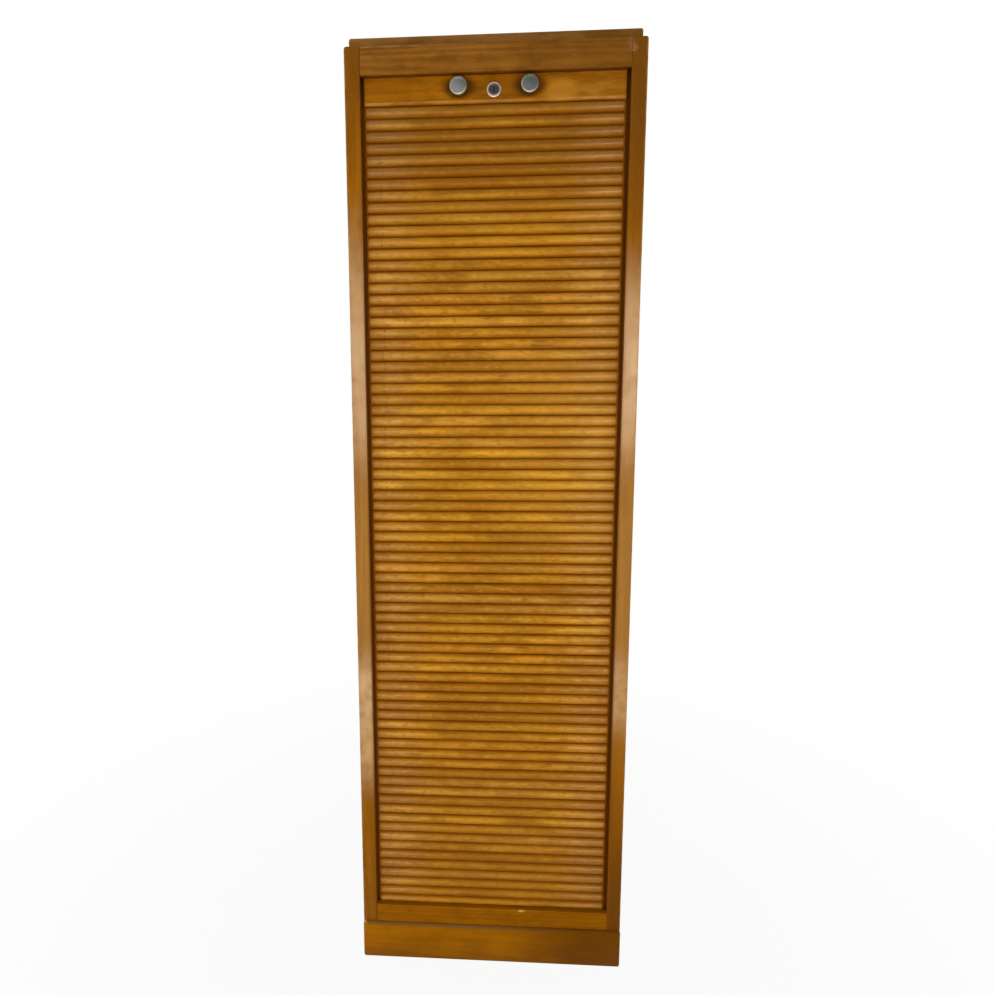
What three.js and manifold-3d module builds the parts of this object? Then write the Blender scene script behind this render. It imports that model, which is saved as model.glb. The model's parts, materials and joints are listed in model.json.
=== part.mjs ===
// Tambour door cabinet: a tall oak filing cabinet, closed by one vertical tambour that slides down.
// Millimetres, +Z up. X runs across the front, and Y from the front towards the back.
// Inside this file Y is zero at the front faces of the stiles. The last lines centre the cabinet on Y.
import * as THREE from "three";
import { mergeVertices } from "three/addons/utils/BufferGeometryUtils.js";
import Module from "manifold-3d";

const wasm = await Module();
wasm.setup();

// Clearances and finish that many pieces share
const JOINT_GAP = 0.15; // each side of a piece fitted between two others
const SEAT_GAP = 0.2; // under a piece that rests on a broad face
const OVERRUN = 2; // how far a cutter passes the face that it opens, or a joined form runs into the next
const ARRIS_ROUND = 1.5; // eased edge of planed boards
const ARC_STEPS = 5; // facets of a rounded corner

// Carcass
const CABINET_WIDTH = 480;
const CABINET_DEPTH = 400;
const SIDE_HEIGHT = 1607;
const SIDE_THICKNESS = 25;
const SIDE_TOP_ROUND = 4.5;
const HOUSING_DEPTH = 6; // how deep the floor and the top are let into the sides
const TOP_PANEL_THICKNESS = 18;
const TOP_BOARD_THICKNESS = 14;
const TOP_BOARD_SIDE_INSET = 7.5;
const TOP_BOARD_FRONT_INSET = 5;
const TOP_RAIL_HEIGHT = 43.5;
const TOP_RAIL_THICKNESS = 25;
const BOTTOM_RAIL_HEIGHT = 33.5;
const BOTTOM_RAIL_ROUND = 2.5;
const PLINTH_HEIGHT = 70.5;
const PLINTH_PROUD = 6;
const BOTTOM_BOARD_THICKNESS = 18;
const BOTTOM_BOARD_SET_DOWN = 9; // floor of the cupboard below the top of the bottom rail
const BACK_PANEL_THICKNESS = 8;
const BACK_PANEL_SET_IN = 1;
const BACK_REBATE_WIDTH = 12;
const BACK_PANEL_FLOOR_GAP = 12;
const FALSE_BACK_THICKNESS = 6;
const FALSE_BACK_HOUSING = 5;

// Tambour
const SLAT_PITCH_AIM = 18.5;
const SLATS_PER_SECTION = 7;
const TAIL_SLATS = 4;
const SLAT_RECESS = 12.5; // crowns of the slats behind the front of the stiles
const SLAT_CROWN = 7;
const SLAT_GAP = 0.4;
const SLAT_END_GAP = 5; // from the shoulder of a slat to the stile
const CROWN_STEPS = 6;
const TONGUE_THICKNESS = 4.4;
const TONGUE_LENGTH = 6.4; // how far a tongue reaches into its groove
const GROOVE_DEPTH = 7.5;
const GROOVE_CLEARANCE = 0.25;
const CANVAS_THICKNESS = 1;
const CANVAS_BITE = 0.2; // glue line between canvas and slats
const CANVAS_SIDE_INSET = 12;
const CURVE_RADIUS = 45;
const CURVE_STEPS = 10;
const RAIL_CLEARANCE = 1.5; // from the crowns to the back of the rails
const FLOOR_RUN_CLEARANCE = 27; // under the slats that pass below the floor of the cupboard
const STORE_CLEARANCE = 7; // each side of the stored tambour
const BOARD_CLEARANCE = 4.8; // from the canvas to the front edge of the bottom board
const CURTAIN_DIP = 8.6; // last joint that shows, below the top of the bottom rail
const OPEN_GAP = 3; // lead slat above the bottom rail when the cabinet is open
const STOP_LENGTH = 40;
const STOP_GAP = 3; // from the tail to the stops in the rear grooves
const STOP_PROUD = 3;

// Lead slat
const LEAD_SIGHT = 41.3; // what shows below the top rail
const LEAD_OVERLAP = 8.7; // what closes behind the top rail
const LEAD_REBATE_GAP = 1;
const LEAD_LOWER_ROUND = 5.5;
const HANDLE_HEIGHT = 18.8; // axis of knobs and lock above the lower edge

// Knobs
const KNOB_SPACING = 113;
const KNOB_RADIUS = 14;
const KNOB_BEVEL = 1.6;
const KNOB_RIM_DEPTH = 6.5;
const KNOB_NECK_RADIUS = 6;
const KNOB_FOOT_RADIUS = 8.5;
const KNOB_FOOT_DEPTH = 2.5;
const KNOB_HEIGHT = 21.5;
const KNOB_SEGMENTS = 32;
const KNOB_SCREW_RADIUS = 2;
const KNOB_SCREW_HEAD_RADIUS = 4;
const KNOB_SCREW_HEAD_DEPTH = 2.4;
const KNOB_SCREW_REACH = 9;
const SCREW_CLEARANCE = 0.3;
const SCREW_SEGMENTS = 12;

// Lock
const LOCK_SEGMENTS = 32;
const ROSETTE_RADIUS = 12.25;
const ROSETTE_DEPTH = 2.5;
const ROSETTE_ROUND = 1.2;
const HOUSING_RADIUS = 8.8;
const HOUSING_PROUD = 2.2;
const HOUSING_TAIL = 4.2;
const LOCK_CLEARANCE = 0.2;
const PLUG_RADIUS = 7;
const PLUG_SET_IN = 0.8;
const PLUG_TAIL_SIDE = 7;
const KEYWAY_WIDTH = 1.8;
const KEYWAY_HEIGHT = 8;
const KEYWAY_DEPTH = 9;
const NUT_ACROSS_FLATS = 22;
const NUT_SIDES = 6;
const NUT_DEPTH = 3;
const HOOK_THICKNESS = 2.5;
const HOOK_HUB_RADIUS = 9;
const HOOK_ARM_WIDTH = 10;
const HOOK_BAND = 5;
const HOOK_FINGER_DEG = 25;
const HOOK_STEPS = 6;
const HOOK_PLAY = 0.4;
const HOOK_SCREW_RADIUS = 1.9;
const HOOK_SCREW_REACH = 6;
const HOOK_SCREW_HEAD_RADIUS = 4.6;
const HOOK_SCREW_HEAD_DEPTH = 2.2;

// Keeper on the back of the top rail
const KEEPER_WIDTH = 64;
const KEEPER_THICKNESS = 2;
const KEEPER_MARGIN = 1;
const KEEPER_TAB_WIDTH = 6.5;
const KEEPER_TAB_THICKNESS = 2.6;
const KEEPER_TAB_PAST_HOOK = 2.5;
const KEEPER_SCREW_INSET = 7;
const KEEPER_SCREW_RADIUS = 1.5;
const KEEPER_SCREW_HEAD_RADIUS = 3.2;
const KEEPER_SCREW_HEAD_DEPTH = 1.8;
const KEEPER_SCREW_REACH = 14;

// Shelves
const SHELF_COUNT = 3;
const SHELF_THICKNESS = 18;
const SHELF_SIDE_GAP = 0.6;
const SHELF_ROOM = 6.6; // from the lock's screw to the front edges of the shelves
const RACK_THICKNESS = 12;
const RACK_WIDTH = 24;
const TEETH_PER_SHELF = 10;
const NOTCH_DEPTH = 9;
const NOTCH_RISE_SHARE = 0.8;
const CLEAT_HEIGHT = 20;
const CLEAT_END_GAP = 0.5;

// Places across and through the carcass
const outerHalf = CABINET_WIDTH / 2;
const innerHalf = outerHalf - SIDE_THICKNESS;
const frontPathY = SLAT_RECESS + SLAT_CROWN + TONGUE_THICKNESS / 2;
const railBackY = SLAT_RECESS - RAIL_CLEARANCE;
const leadBackY = frontPathY + TONGUE_THICKNESS / 2;
const canvasBackY = leadBackY + CANVAS_THICKNESS;
const backRebateY = CABINET_DEPTH - BACK_PANEL_SET_IN - BACK_PANEL_THICKNESS;
const rearPathY = backRebateY - STORE_CLEARANCE - SLAT_CROWN - TONGUE_THICKNESS / 2;
const falseBackRearY = rearPathY - TONGUE_THICKNESS / 2 - CANVAS_THICKNESS - STORE_CLEARANCE;
const falseBackFrontY = falseBackRearY - FALSE_BACK_THICKNESS;

// Heights
const bottomRailTopZ = PLINTH_HEIGHT + BOTTOM_RAIL_HEIGHT;
const floorTopZ = bottomRailTopZ - BOTTOM_BOARD_SET_DOWN;
const floorBottomZ = floorTopZ - BOTTOM_BOARD_THICKNESS;
const topPanelBottomZ = SIDE_HEIGHT - TOP_PANEL_THICKNESS;
const topRailBottomZ = SIDE_HEIGHT - TOP_RAIL_HEIGHT;
const leadBottomZ = topRailBottomZ - LEAD_SIGHT;
const leadTopZ = topRailBottomZ + LEAD_OVERLAP;
const rebateTopZ = leadTopZ + LEAD_REBATE_GAP;
const handleZ = leadBottomZ + HANDLE_HEIGHT;
const floorPathZ = FLOOR_RUN_CLEARANCE + SLAT_CROWN + TONGUE_THICKNESS / 2;
const curveZ = floorPathZ + CURVE_RADIUS;
const curtainBottomZ = bottomRailTopZ - CURTAIN_DIP;

// The canvas lies on the inner side of the bend, so the slats open outwards and keep their spacing on it.
const canvasRadius = CURVE_RADIUS - TONGUE_THICKNESS / 2;

// The slats fill the sight exactly, at the pitch nearest to the one aimed at
const slatCount = Math.round((leadBottomZ - curtainBottomZ) / SLAT_PITCH_AIM);
const slatPitch = (leadBottomZ - curtainBottomZ) / slatCount;
const slatHeight = slatPitch - SLAT_GAP;
const slatHalf = innerHalf - SLAT_END_GAP;
const tongueHalf = innerHalf + TONGUE_LENGTH;
const grooveHalf =
  Math.hypot(CURVE_RADIUS + TONGUE_THICKNESS / 2, slatHeight / 2) - CURVE_RADIUS + GROOVE_CLEARANCE;

// Planes of the lock, from the back of the lead slat inwards
const housingBackY = leadBackY + HOUSING_TAIL;
const hookFrontY = housingBackY + HOOK_PLAY;
const hookBackY = hookFrontY + HOOK_THICKNESS;
const hookHeadY = hookBackY + SEAT_GAP;
const hookHeadBackY = hookHeadY + HOOK_SCREW_HEAD_DEPTH;
const shelfFrontY = hookHeadBackY + SHELF_ROOM;
const shelfBackY = falseBackFrontY - SEAT_GAP;

const shelfStep = (topPanelBottomZ - floorTopZ + SHELF_THICKNESS) / (SHELF_COUNT + 1);
const toothPitch = shelfStep / TEETH_PER_SHELF;
const notchRise = toothPitch * NOTCH_RISE_SHARE;

const oak = new THREE.MeshStandardMaterial({ color: 0xa8681f, roughness: 0.5, metalness: 0 });
const slatOak = new THREE.MeshStandardMaterial({ color: 0xb87a26, roughness: 0.45, metalness: 0 });
const plainOak = new THREE.MeshStandardMaterial({ color: 0xb98a4e, roughness: 0.65, metalness: 0 });
const plywood = new THREE.MeshStandardMaterial({ color: 0xb08a58, roughness: 0.75, metalness: 0 });
const zinc = new THREE.MeshStandardMaterial({ color: 0x9a9d9c, roughness: 0.4, metalness: 0.9 });
const nickel = new THREE.MeshStandardMaterial({ color: 0xcfc8bd, roughness: 0.25, metalness: 1 });
const steel = new THREE.MeshStandardMaterial({ color: 0x6f6f70, roughness: 0.45, metalness: 0.9 });

// A geometry as a solid: shared vertices merged, and triangles without area left out.
function solid(geometry) {
  const bare = geometry.index ? geometry.toNonIndexed() : geometry.clone();
  bare.deleteAttribute("normal");
  bare.deleteAttribute("uv");
  const merged = mergeVertices(bare);
  const triangles = [];
  const index = merged.index.array;
  for (let i = 0; i < index.length; i += 3) {
    const [a, b, c] = [index[i], index[i + 1], index[i + 2]];
    if (a !== b && b !== c && c !== a) triangles.push(a, b, c);
  }
  const vertProperties = merged.attributes.position.array;
  const triVerts = new Uint32Array(triangles);
  return new wasm.Manifold(new wasm.Mesh({ numProp: 3, vertProperties, triVerts }));
}

function geometryOf(made) {
  const { vertProperties, triVerts } = made.getMesh();
  const shared = new THREE.BufferGeometry();
  shared.setAttribute("position", new THREE.BufferAttribute(vertProperties, 3));
  shared.setIndex(new THREE.BufferAttribute(triVerts, 1));
  const flat = shared.toNonIndexed();
  flat.computeVertexNormals();
  return flat;
}

// Prisms: an outline in (y, z) drawn out along X, in (x, z) along Y, or in (x, y) along Z.
function extruded(outlines, depth) {
  return new THREE.ExtrudeGeometry(outlines, { depth, bevelEnabled: false, steps: 1 });
}

function alongX(outlines, x0, x1) {
  const turn = new THREE.Matrix4().set(0, 0, 1, x0, 1, 0, 0, 0, 0, 1, 0, 0, 0, 0, 0, 1);
  return solid(extruded(outlines, x1 - x0).applyMatrix4(turn));
}

function alongY(outlines, y0, y1) {
  const turn = new THREE.Matrix4().set(1, 0, 0, 0, 0, 0, -1, y1, 0, 1, 0, 0, 0, 0, 0, 1);
  return solid(extruded(outlines, y1 - y0).applyMatrix4(turn));
}

function alongZ(outlines, z0, z1) {
  return solid(extruded(outlines, z1 - z0).translate(0, 0, z0));
}

function block([x0, y0, z0], [x1, y1, z1]) {
  const box = new THREE.BoxGeometry(x1 - x0, y1 - y0, z1 - z0);
  return solid(box.translate((x0 + x1) / 2, (y0 + y1) / 2, (z0 + z1) / 2));
}

// A round bar along Y.
function bar(radius, y0, y1, x, z, segments) {
  const cylinder = new THREE.CylinderGeometry(radius, radius, y1 - y0, segments);
  return solid(cylinder.translate(x, (y0 + y1) / 2, z));
}

// A body turned about an axis along Y: each point is [radius, y].
function turned(profile, segments) {
  const points = profile.map(([radius, y]) => new THREE.Vector2(radius, y));
  return solid(new THREE.LatheGeometry(points, segments));
}

// Points of an arc about [u, v], from one angle to another, in radians.
function arc(u, v, radius, from, to, steps) {
  return Array.from({ length: steps + 1 }, (_, i) => {
    const angle = from + ((to - from) * i) / steps;
    return [u + radius * Math.cos(angle), v + radius * Math.sin(angle)];
  });
}

function outline(points) {
  return new THREE.Shape(points.map(([u, v]) => new THREE.Vector2(u, v)));
}

// A closed outline whose corners [u, v, radius] are rounded where they have a radius.
function rounded(corners) {
  const points = corners.flatMap(([u, v, radius = 0], i) => {
    if (!radius) return [[u, v]];
    const corner = new THREE.Vector2(u, v);
    const before = corners[(i + corners.length - 1) % corners.length];
    const after = corners[(i + 1) % corners.length];
    const back = new THREE.Vector2(before[0], before[1]).sub(corner).normalize();
    const ahead = new THREE.Vector2(after[0], after[1]).sub(corner).normalize();
    const half = Math.acos(back.dot(ahead)) / 2;
    const centre = back.clone().add(ahead).normalize().multiplyScalar(radius / Math.sin(half)).add(corner);
    const reach = radius / Math.tan(half);
    const start = back.multiplyScalar(reach).add(corner).sub(centre).angle();
    const end = ahead.multiplyScalar(reach).add(corner).sub(centre).angle();
    const sweep = Math.atan2(Math.sin(end - start), Math.cos(end - start));
    return arc(centre.x, centre.y, radius, start, start + sweep, ARC_STEPS);
  });
  return outline(points);
}

const cabinet = new THREE.Group();

function addPiece(group, name, made, material) {
  const mesh = new THREE.Mesh(geometryOf(made), material);
  mesh.name = name;
  group.add(mesh);
  return mesh;
}

// A piece on the right, and its mirror image on the left.
function addPair(group, rightName, leftName, made, material) {
  const right = addPiece(group, rightName, made, material);
  const left = new THREE.Mesh(right.geometry, material);
  left.name = leftName;
  left.scale.x = -1;
  group.add(left);
}

// The running groove as a band in (y, z): down behind the front, round under the floor and up the back.
function grooveOutline() {
  const openZ = SIDE_HEIGHT + OVERRUN;
  const frontY = frontPathY + CURVE_RADIUS;
  const rearY = rearPathY - CURVE_RADIUS;
  const outer = CURVE_RADIUS + grooveHalf;
  const inner = CURVE_RADIUS - grooveHalf;
  return outline([
    [frontPathY - grooveHalf, openZ],
    ...arc(frontY, curveZ, outer, Math.PI, 1.5 * Math.PI, CURVE_STEPS),
    ...arc(rearY, curveZ, outer, 1.5 * Math.PI, 2 * Math.PI, CURVE_STEPS),
    [rearPathY + grooveHalf, openZ],
    [rearPathY - grooveHalf, openZ],
    ...arc(rearY, curveZ, inner, 2 * Math.PI, 1.5 * Math.PI, CURVE_STEPS),
    ...arc(frontY, curveZ, inner, 1.5 * Math.PI, Math.PI, CURVE_STEPS),
    [frontPathY + grooveHalf, openZ],
  ]);
}

function makeSides(group) {
  const plan = rounded([
    [innerHalf, 0, ARRIS_ROUND],
    [outerHalf, 0, ARRIS_ROUND],
    [outerHalf, CABINET_DEPTH, ARRIS_ROUND],
    [innerHalf, CABINET_DEPTH],
  ]);
  const elevation = rounded([
    [innerHalf - OVERRUN, -OVERRUN],
    [outerHalf, -OVERRUN],
    [outerHalf, SIDE_HEIGHT, SIDE_TOP_ROUND],
    [innerHalf - OVERRUN, SIDE_HEIGHT],
  ]);
  const housed = innerHalf + HOUSING_DEPTH;
  const cutters = [
    alongX(grooveOutline(), innerHalf - OVERRUN, innerHalf + GROOVE_DEPTH),
    block(
      [innerHalf - OVERRUN, -OVERRUN, -OVERRUN],
      [outerHalf + OVERRUN, railBackY + SEAT_GAP, PLINTH_HEIGHT + SEAT_GAP],
    ),
    block(
      [innerHalf - OVERRUN, backRebateY, -OVERRUN],
      [innerHalf + BACK_REBATE_WIDTH, CABINET_DEPTH + OVERRUN, SIDE_HEIGHT + OVERRUN],
    ),
    block(
      [innerHalf - OVERRUN, canvasBackY + BOARD_CLEARANCE - JOINT_GAP, floorBottomZ - JOINT_GAP],
      [housed, falseBackRearY, floorTopZ + JOINT_GAP],
    ),
    block(
      [innerHalf - OVERRUN, TOP_RAIL_THICKNESS, topPanelBottomZ - JOINT_GAP],
      [housed, backRebateY + OVERRUN, SIDE_HEIGHT + OVERRUN],
    ),
    block(
      [innerHalf - OVERRUN, falseBackFrontY - JOINT_GAP, floorTopZ - JOINT_GAP],
      [innerHalf + FALSE_BACK_HOUSING, falseBackRearY + JOINT_GAP, topPanelBottomZ],
    ),
  ];
  const upright = alongZ(plan, 0, SIDE_HEIGHT);
  const whole = upright.intersect(alongY(elevation, -OVERRUN, CABINET_DEPTH + OVERRUN));
  const side = cutters.reduce((made, cutter) => made.subtract(cutter), whole);
  addPair(group, "right_side", "left_side", side, oak);
}

// Height of the keeper, whose screws go into the back of the top rail.
const keeperBottomZ = rebateTopZ + KEEPER_MARGIN;
const keeperTopZ = topPanelBottomZ - KEEPER_MARGIN;
const keeperScrewX = KEEPER_WIDTH / 2 - KEEPER_SCREW_INSET;
const keeperScrewZ = (keeperBottomZ + keeperTopZ) / 2;

function makeRails(group) {
  const railHalf = innerHalf - JOINT_GAP;
  const topProfile = rounded([
    [0, topRailBottomZ, ARRIS_ROUND],
    [railBackY, topRailBottomZ],
    [railBackY, rebateTopZ],
    [TOP_RAIL_THICKNESS, rebateTopZ],
    [TOP_RAIL_THICKNESS, SIDE_HEIGHT],
    [0, SIDE_HEIGHT, ARRIS_ROUND],
  ]);
  const pilotRadius = KEEPER_SCREW_RADIUS + SCREW_CLEARANCE;
  const pilotY = TOP_RAIL_THICKNESS - KEEPER_SCREW_REACH - SCREW_CLEARANCE;
  const pilots = [-keeperScrewX, keeperScrewX].map((x) =>
    bar(pilotRadius, pilotY, TOP_RAIL_THICKNESS + OVERRUN, x, keeperScrewZ, SCREW_SEGMENTS),
  );
  const plainRail = alongX(topProfile, -railHalf, railHalf);
  const topRail = pilots.reduce((made, pilot) => made.subtract(pilot), plainRail);
  addPiece(group, "top_rail", topRail, oak);

  const bottomProfile = rounded([
    [0, PLINTH_HEIGHT + SEAT_GAP],
    [railBackY, PLINTH_HEIGHT + SEAT_GAP],
    [railBackY, bottomRailTopZ],
    [0, bottomRailTopZ, BOTTOM_RAIL_ROUND],
  ]);
  addPiece(group, "bottom_rail", alongX(bottomProfile, -railHalf, railHalf), oak);

  const plinthProfile = rounded([
    [-PLINTH_PROUD, 0, ARRIS_ROUND],
    [railBackY, 0],
    [railBackY, PLINTH_HEIGHT],
    [-PLINTH_PROUD, PLINTH_HEIGHT, PLINTH_PROUD],
  ]);
  const plinthPlan = rounded([
    [-outerHalf, -PLINTH_PROUD, 2 * ARRIS_ROUND],
    [outerHalf, -PLINTH_PROUD, 2 * ARRIS_ROUND],
    [outerHalf, railBackY],
    [-outerHalf, railBackY],
  ]);
  const plinth = alongX(plinthProfile, -outerHalf, outerHalf).intersect(
    alongZ(plinthPlan, -OVERRUN, PLINTH_HEIGHT + OVERRUN),
  );
  addPiece(group, "plinth", plinth, oak);
}

function makeTopAndFloor(group) {
  const housed = innerHalf + HOUSING_DEPTH - JOINT_GAP;
  const panel = block(
    [-housed, TOP_RAIL_THICKNESS + SEAT_GAP, topPanelBottomZ],
    [housed, backRebateY - SEAT_GAP, SIDE_HEIGHT],
  );
  addPiece(group, "top_panel", panel, plainOak);

  const boardHalf = outerHalf - TOP_BOARD_SIDE_INSET;
  const boardPlan = rounded([
    [-boardHalf, TOP_BOARD_FRONT_INSET, ARRIS_ROUND],
    [boardHalf, TOP_BOARD_FRONT_INSET, ARRIS_ROUND],
    [boardHalf, CABINET_DEPTH, ARRIS_ROUND],
    [-boardHalf, CABINET_DEPTH, ARRIS_ROUND],
  ]);
  const boardZ = SIDE_HEIGHT + SEAT_GAP;
  const boardProfile = rounded([
    [TOP_BOARD_FRONT_INSET, boardZ],
    [CABINET_DEPTH, boardZ],
    [CABINET_DEPTH, boardZ + TOP_BOARD_THICKNESS, ARRIS_ROUND],
    [TOP_BOARD_FRONT_INSET, boardZ + TOP_BOARD_THICKNESS, ARRIS_ROUND],
  ]);
  const board = alongZ(boardPlan, boardZ, boardZ + TOP_BOARD_THICKNESS).intersect(
    alongX(boardProfile, -outerHalf, outerHalf),
  );
  addPiece(group, "top_board", board, oak);

  const floor = block(
    [-housed, canvasBackY + BOARD_CLEARANCE, floorBottomZ],
    [housed, falseBackRearY - JOINT_GAP, floorTopZ],
  );
  addPiece(group, "bottom_board", floor, plainOak);
}

function makeBacks(group) {
  const falseHalf = innerHalf + FALSE_BACK_HOUSING - JOINT_GAP;
  const falseBack = block(
    [-falseHalf, falseBackFrontY, floorTopZ + SEAT_GAP],
    [falseHalf, falseBackRearY, topPanelBottomZ - SEAT_GAP],
  );
  addPiece(group, "false_back", falseBack, plywood);

  const backHalf = innerHalf + BACK_REBATE_WIDTH - JOINT_GAP;
  const back = block(
    [-backHalf, backRebateY + JOINT_GAP, BACK_PANEL_FLOOR_GAP],
    [backHalf, CABINET_DEPTH - BACK_PANEL_SET_IN, SIDE_HEIGHT],
  );
  addPiece(group, "back_panel", back, plywood);
}

// A toothed rack: saw-tooth notches whose ledges carry the ends of the cleats.
const rackBottomZ = floorTopZ + SEAT_GAP;
const rackTopZ = topPanelBottomZ - SEAT_GAP;
const rackInnerX = innerHalf - SEAT_GAP - RACK_THICKNESS;
const shelfBottomZ = (k) => floorTopZ + k * shelfStep - SHELF_THICKNESS;
const cleatBottomZ = (k) => shelfBottomZ(k) - SEAT_GAP - CLEAT_HEIGHT;
const ledgeZ = (tooth) => cleatBottomZ(tooth / TEETH_PER_SHELF) - SEAT_GAP;

function rackOutline(plainY, toothedY) {
  const inward = Math.sign(plainY - toothedY) * NOTCH_DEPTH;
  const teeth = [];
  for (let tooth = 1; ledgeZ(tooth) + notchRise < rackTopZ; tooth += 1) {
    if (ledgeZ(tooth) <= rackBottomZ) continue;
    teeth.push([toothedY, ledgeZ(tooth)]);
    teeth.push([toothedY + inward, ledgeZ(tooth)]);
    teeth.push([toothedY, ledgeZ(tooth) + notchRise]);
  }
  return outline([
    [plainY, rackBottomZ],
    [toothedY, rackBottomZ],
    ...teeth,
    [toothedY, rackTopZ],
    [plainY, rackTopZ],
  ]);
}

function makeShelves(group) {
  const frontRackY = shelfFrontY + RACK_WIDTH;
  const rearRackY = shelfBackY - RACK_WIDTH;
  const rackOuterX = innerHalf - SEAT_GAP;
  const frontRack = alongX(rackOutline(shelfFrontY, frontRackY), rackInnerX, rackOuterX);
  const rearRack = alongX(rackOutline(shelfBackY, rearRackY), rackInnerX, rackOuterX);
  addPair(group, "rack_front_right", "rack_front_left", frontRack, plainOak);
  addPair(group, "rack_rear_right", "rack_rear_left", rearRack, plainOak);

  const notchX = rackInnerX - SHELF_SIDE_GAP;
  const shelfHalf = innerHalf - SHELF_SIDE_GAP;
  const cleatFrontY = frontRackY - NOTCH_DEPTH + CLEAT_END_GAP;
  const cleatBackY = rearRackY + NOTCH_DEPTH - CLEAT_END_GAP;
  const slope = (NOTCH_DEPTH * CLEAT_HEIGHT) / notchRise;
  for (let k = 1; k <= SHELF_COUNT; k += 1) {
    const bottomZ = shelfBottomZ(k);
    const topZ = bottomZ + SHELF_THICKNESS;
    const profile = rounded([
      [shelfFrontY, bottomZ, ARRIS_ROUND],
      [shelfBackY, bottomZ],
      [shelfBackY, topZ],
      [shelfFrontY, topZ, ARRIS_ROUND],
    ]);
    const underZ = bottomZ - OVERRUN;
    const overZ = topZ + OVERRUN;
    const corners = [-1, 1].flatMap((hand) => {
      const [x0, x1] = [hand * notchX, hand * (shelfHalf + OVERRUN)].sort((a, b) => a - b);
      return [
        block([x0, shelfFrontY - OVERRUN, underZ], [x1, frontRackY + SEAT_GAP, overZ]),
        block([x0, rearRackY - SEAT_GAP, underZ], [x1, shelfBackY + OVERRUN, overZ]),
      ];
    });
    const board = alongX(profile, -shelfHalf, shelfHalf);
    const shelf = corners.reduce((made, corner) => made.subtract(corner), board);
    addPiece(group, `shelf_${k}`, shelf, plainOak);

    const cleatZ = cleatBottomZ(k);
    const cleatOutline = outline([
      [cleatFrontY, cleatZ],
      [cleatBackY, cleatZ],
      [cleatBackY - slope, cleatZ + CLEAT_HEIGHT],
      [cleatFrontY + slope, cleatZ + CLEAT_HEIGHT],
    ]);
    const cleat = alongX(cleatOutline, rackInnerX, rackOuterX);
    addPair(group, `cleat_${k}_right`, `cleat_${k}_left`, cleat, plainOak);
  }
}

// Blocks in the rear grooves, just above where the tail stands when the cabinet is open.
function makeGrooveStops(group) {
  const openZ = bottomRailTopZ + OPEN_GAP;
  const floorRun = rearPathY - frontPathY - 2 * CURVE_RADIUS;
  const curtainLength = (slatCount + TAIL_SLATS) * slatPitch;
  const tailZ = curveZ + curtainLength - (openZ - curveZ) - Math.PI * canvasRadius - floorRun;
  const stopZ = tailZ + STOP_GAP;
  const stop = block(
    [innerHalf - STOP_PROUD, rearPathY - grooveHalf + SEAT_GAP, stopZ],
    [innerHalf + GROOVE_DEPTH - SEAT_GAP, rearPathY + grooveHalf - SEAT_GAP, stopZ + STOP_LENGTH],
  );
  addPair(group, "groove_stop_right", "groove_stop_left", stop, plainOak);
}

// One slat where the path passes [y, z]: n is the way that its crown faces, and t the way along the path.
function slatOutlines({ y, z, n, t }) {
  const place = ([out, along]) => [y + out * n[0] + along * t[0], z + out * n[1] + along * t[1]];
  const halfTongue = TONGUE_THICKNESS / 2;
  const halfSlat = slatHeight / 2;
  const crownRadius = (halfSlat ** 2 + SLAT_CROWN ** 2) / (2 * SLAT_CROWN);
  const reach = Math.atan2(halfSlat, crownRadius - SLAT_CROWN);
  const crown = arc(halfTongue + SLAT_CROWN - crownRadius, 0, crownRadius, -reach, reach, CROWN_STEPS);
  const back = [
    [-halfTongue, halfSlat],
    [-halfTongue, -halfSlat],
  ];
  const front = [
    [halfTongue, -halfSlat],
    [halfTongue, halfSlat],
  ];
  const bead = outline([...back, ...crown].map(place));
  const tongue = outline([...back, ...front].map(place));
  return { bead, tongue };
}

// Slats on their canvas, as one length of tambour.
function curtain(stations, canvas) {
  const outlines = stations.map(slatOutlines);
  const beads = alongX(outlines.map(({ bead }) => bead), -slatHalf, slatHalf);
  const tongues = alongX(outlines.map(({ tongue }) => tongue), -tongueHalf, tongueHalf);
  const canvasHalf = slatHalf - CANVAS_SIDE_INSET;
  return beads.add(tongues).add(alongX(canvas, -canvasHalf, canvasHalf));
}

// The straight front, in lengths of a few slats.
function makeSections(group) {
  const forward = [-1, 0];
  const down = [0, -1];
  for (let first = 0; first < slatCount; first += SLATS_PER_SECTION) {
    const count = Math.min(SLATS_PER_SECTION, slatCount - first);
    const topZ = leadBottomZ - first * slatPitch;
    const bottomZ = topZ - count * slatPitch;
    const stations = Array.from({ length: count }, (_, i) => {
      const z = topZ - (i + 0.5) * slatPitch;
      return { y: frontPathY, z, n: forward, t: down };
    });
    const canvas = outline([
      [leadBackY - CANVAS_BITE, bottomZ + SLAT_GAP / 2],
      [canvasBackY, bottomZ + SLAT_GAP / 2],
      [canvasBackY, topZ - SLAT_GAP / 2],
      [leadBackY - CANVAS_BITE, topZ - SLAT_GAP / 2],
    ]);
    const number = String(first / SLATS_PER_SECTION + 1).padStart(2, "0");
    addPiece(group, `tambour_section_${number}`, curtain(stations, canvas), slatOak);
  }
}

// A point of the path, by the length of canvas between it and the last joint that shows.
function tailStation(distance) {
  const straight = Math.max(0, curtainBottomZ - curveZ);
  if (distance <= straight) {
    return { y: frontPathY, z: curtainBottomZ - distance, n: [-1, 0], t: [0, -1] };
  }
  const angle = Math.PI + (distance - straight) / canvasRadius;
  const n = [Math.cos(angle), Math.sin(angle)];
  const y = frontPathY + CURVE_RADIUS + CURVE_RADIUS * n[0];
  const z = curtainBottomZ - straight + CURVE_RADIUS * n[1];
  return { y, z, n, t: [-n[1], n[0]] };
}

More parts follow.
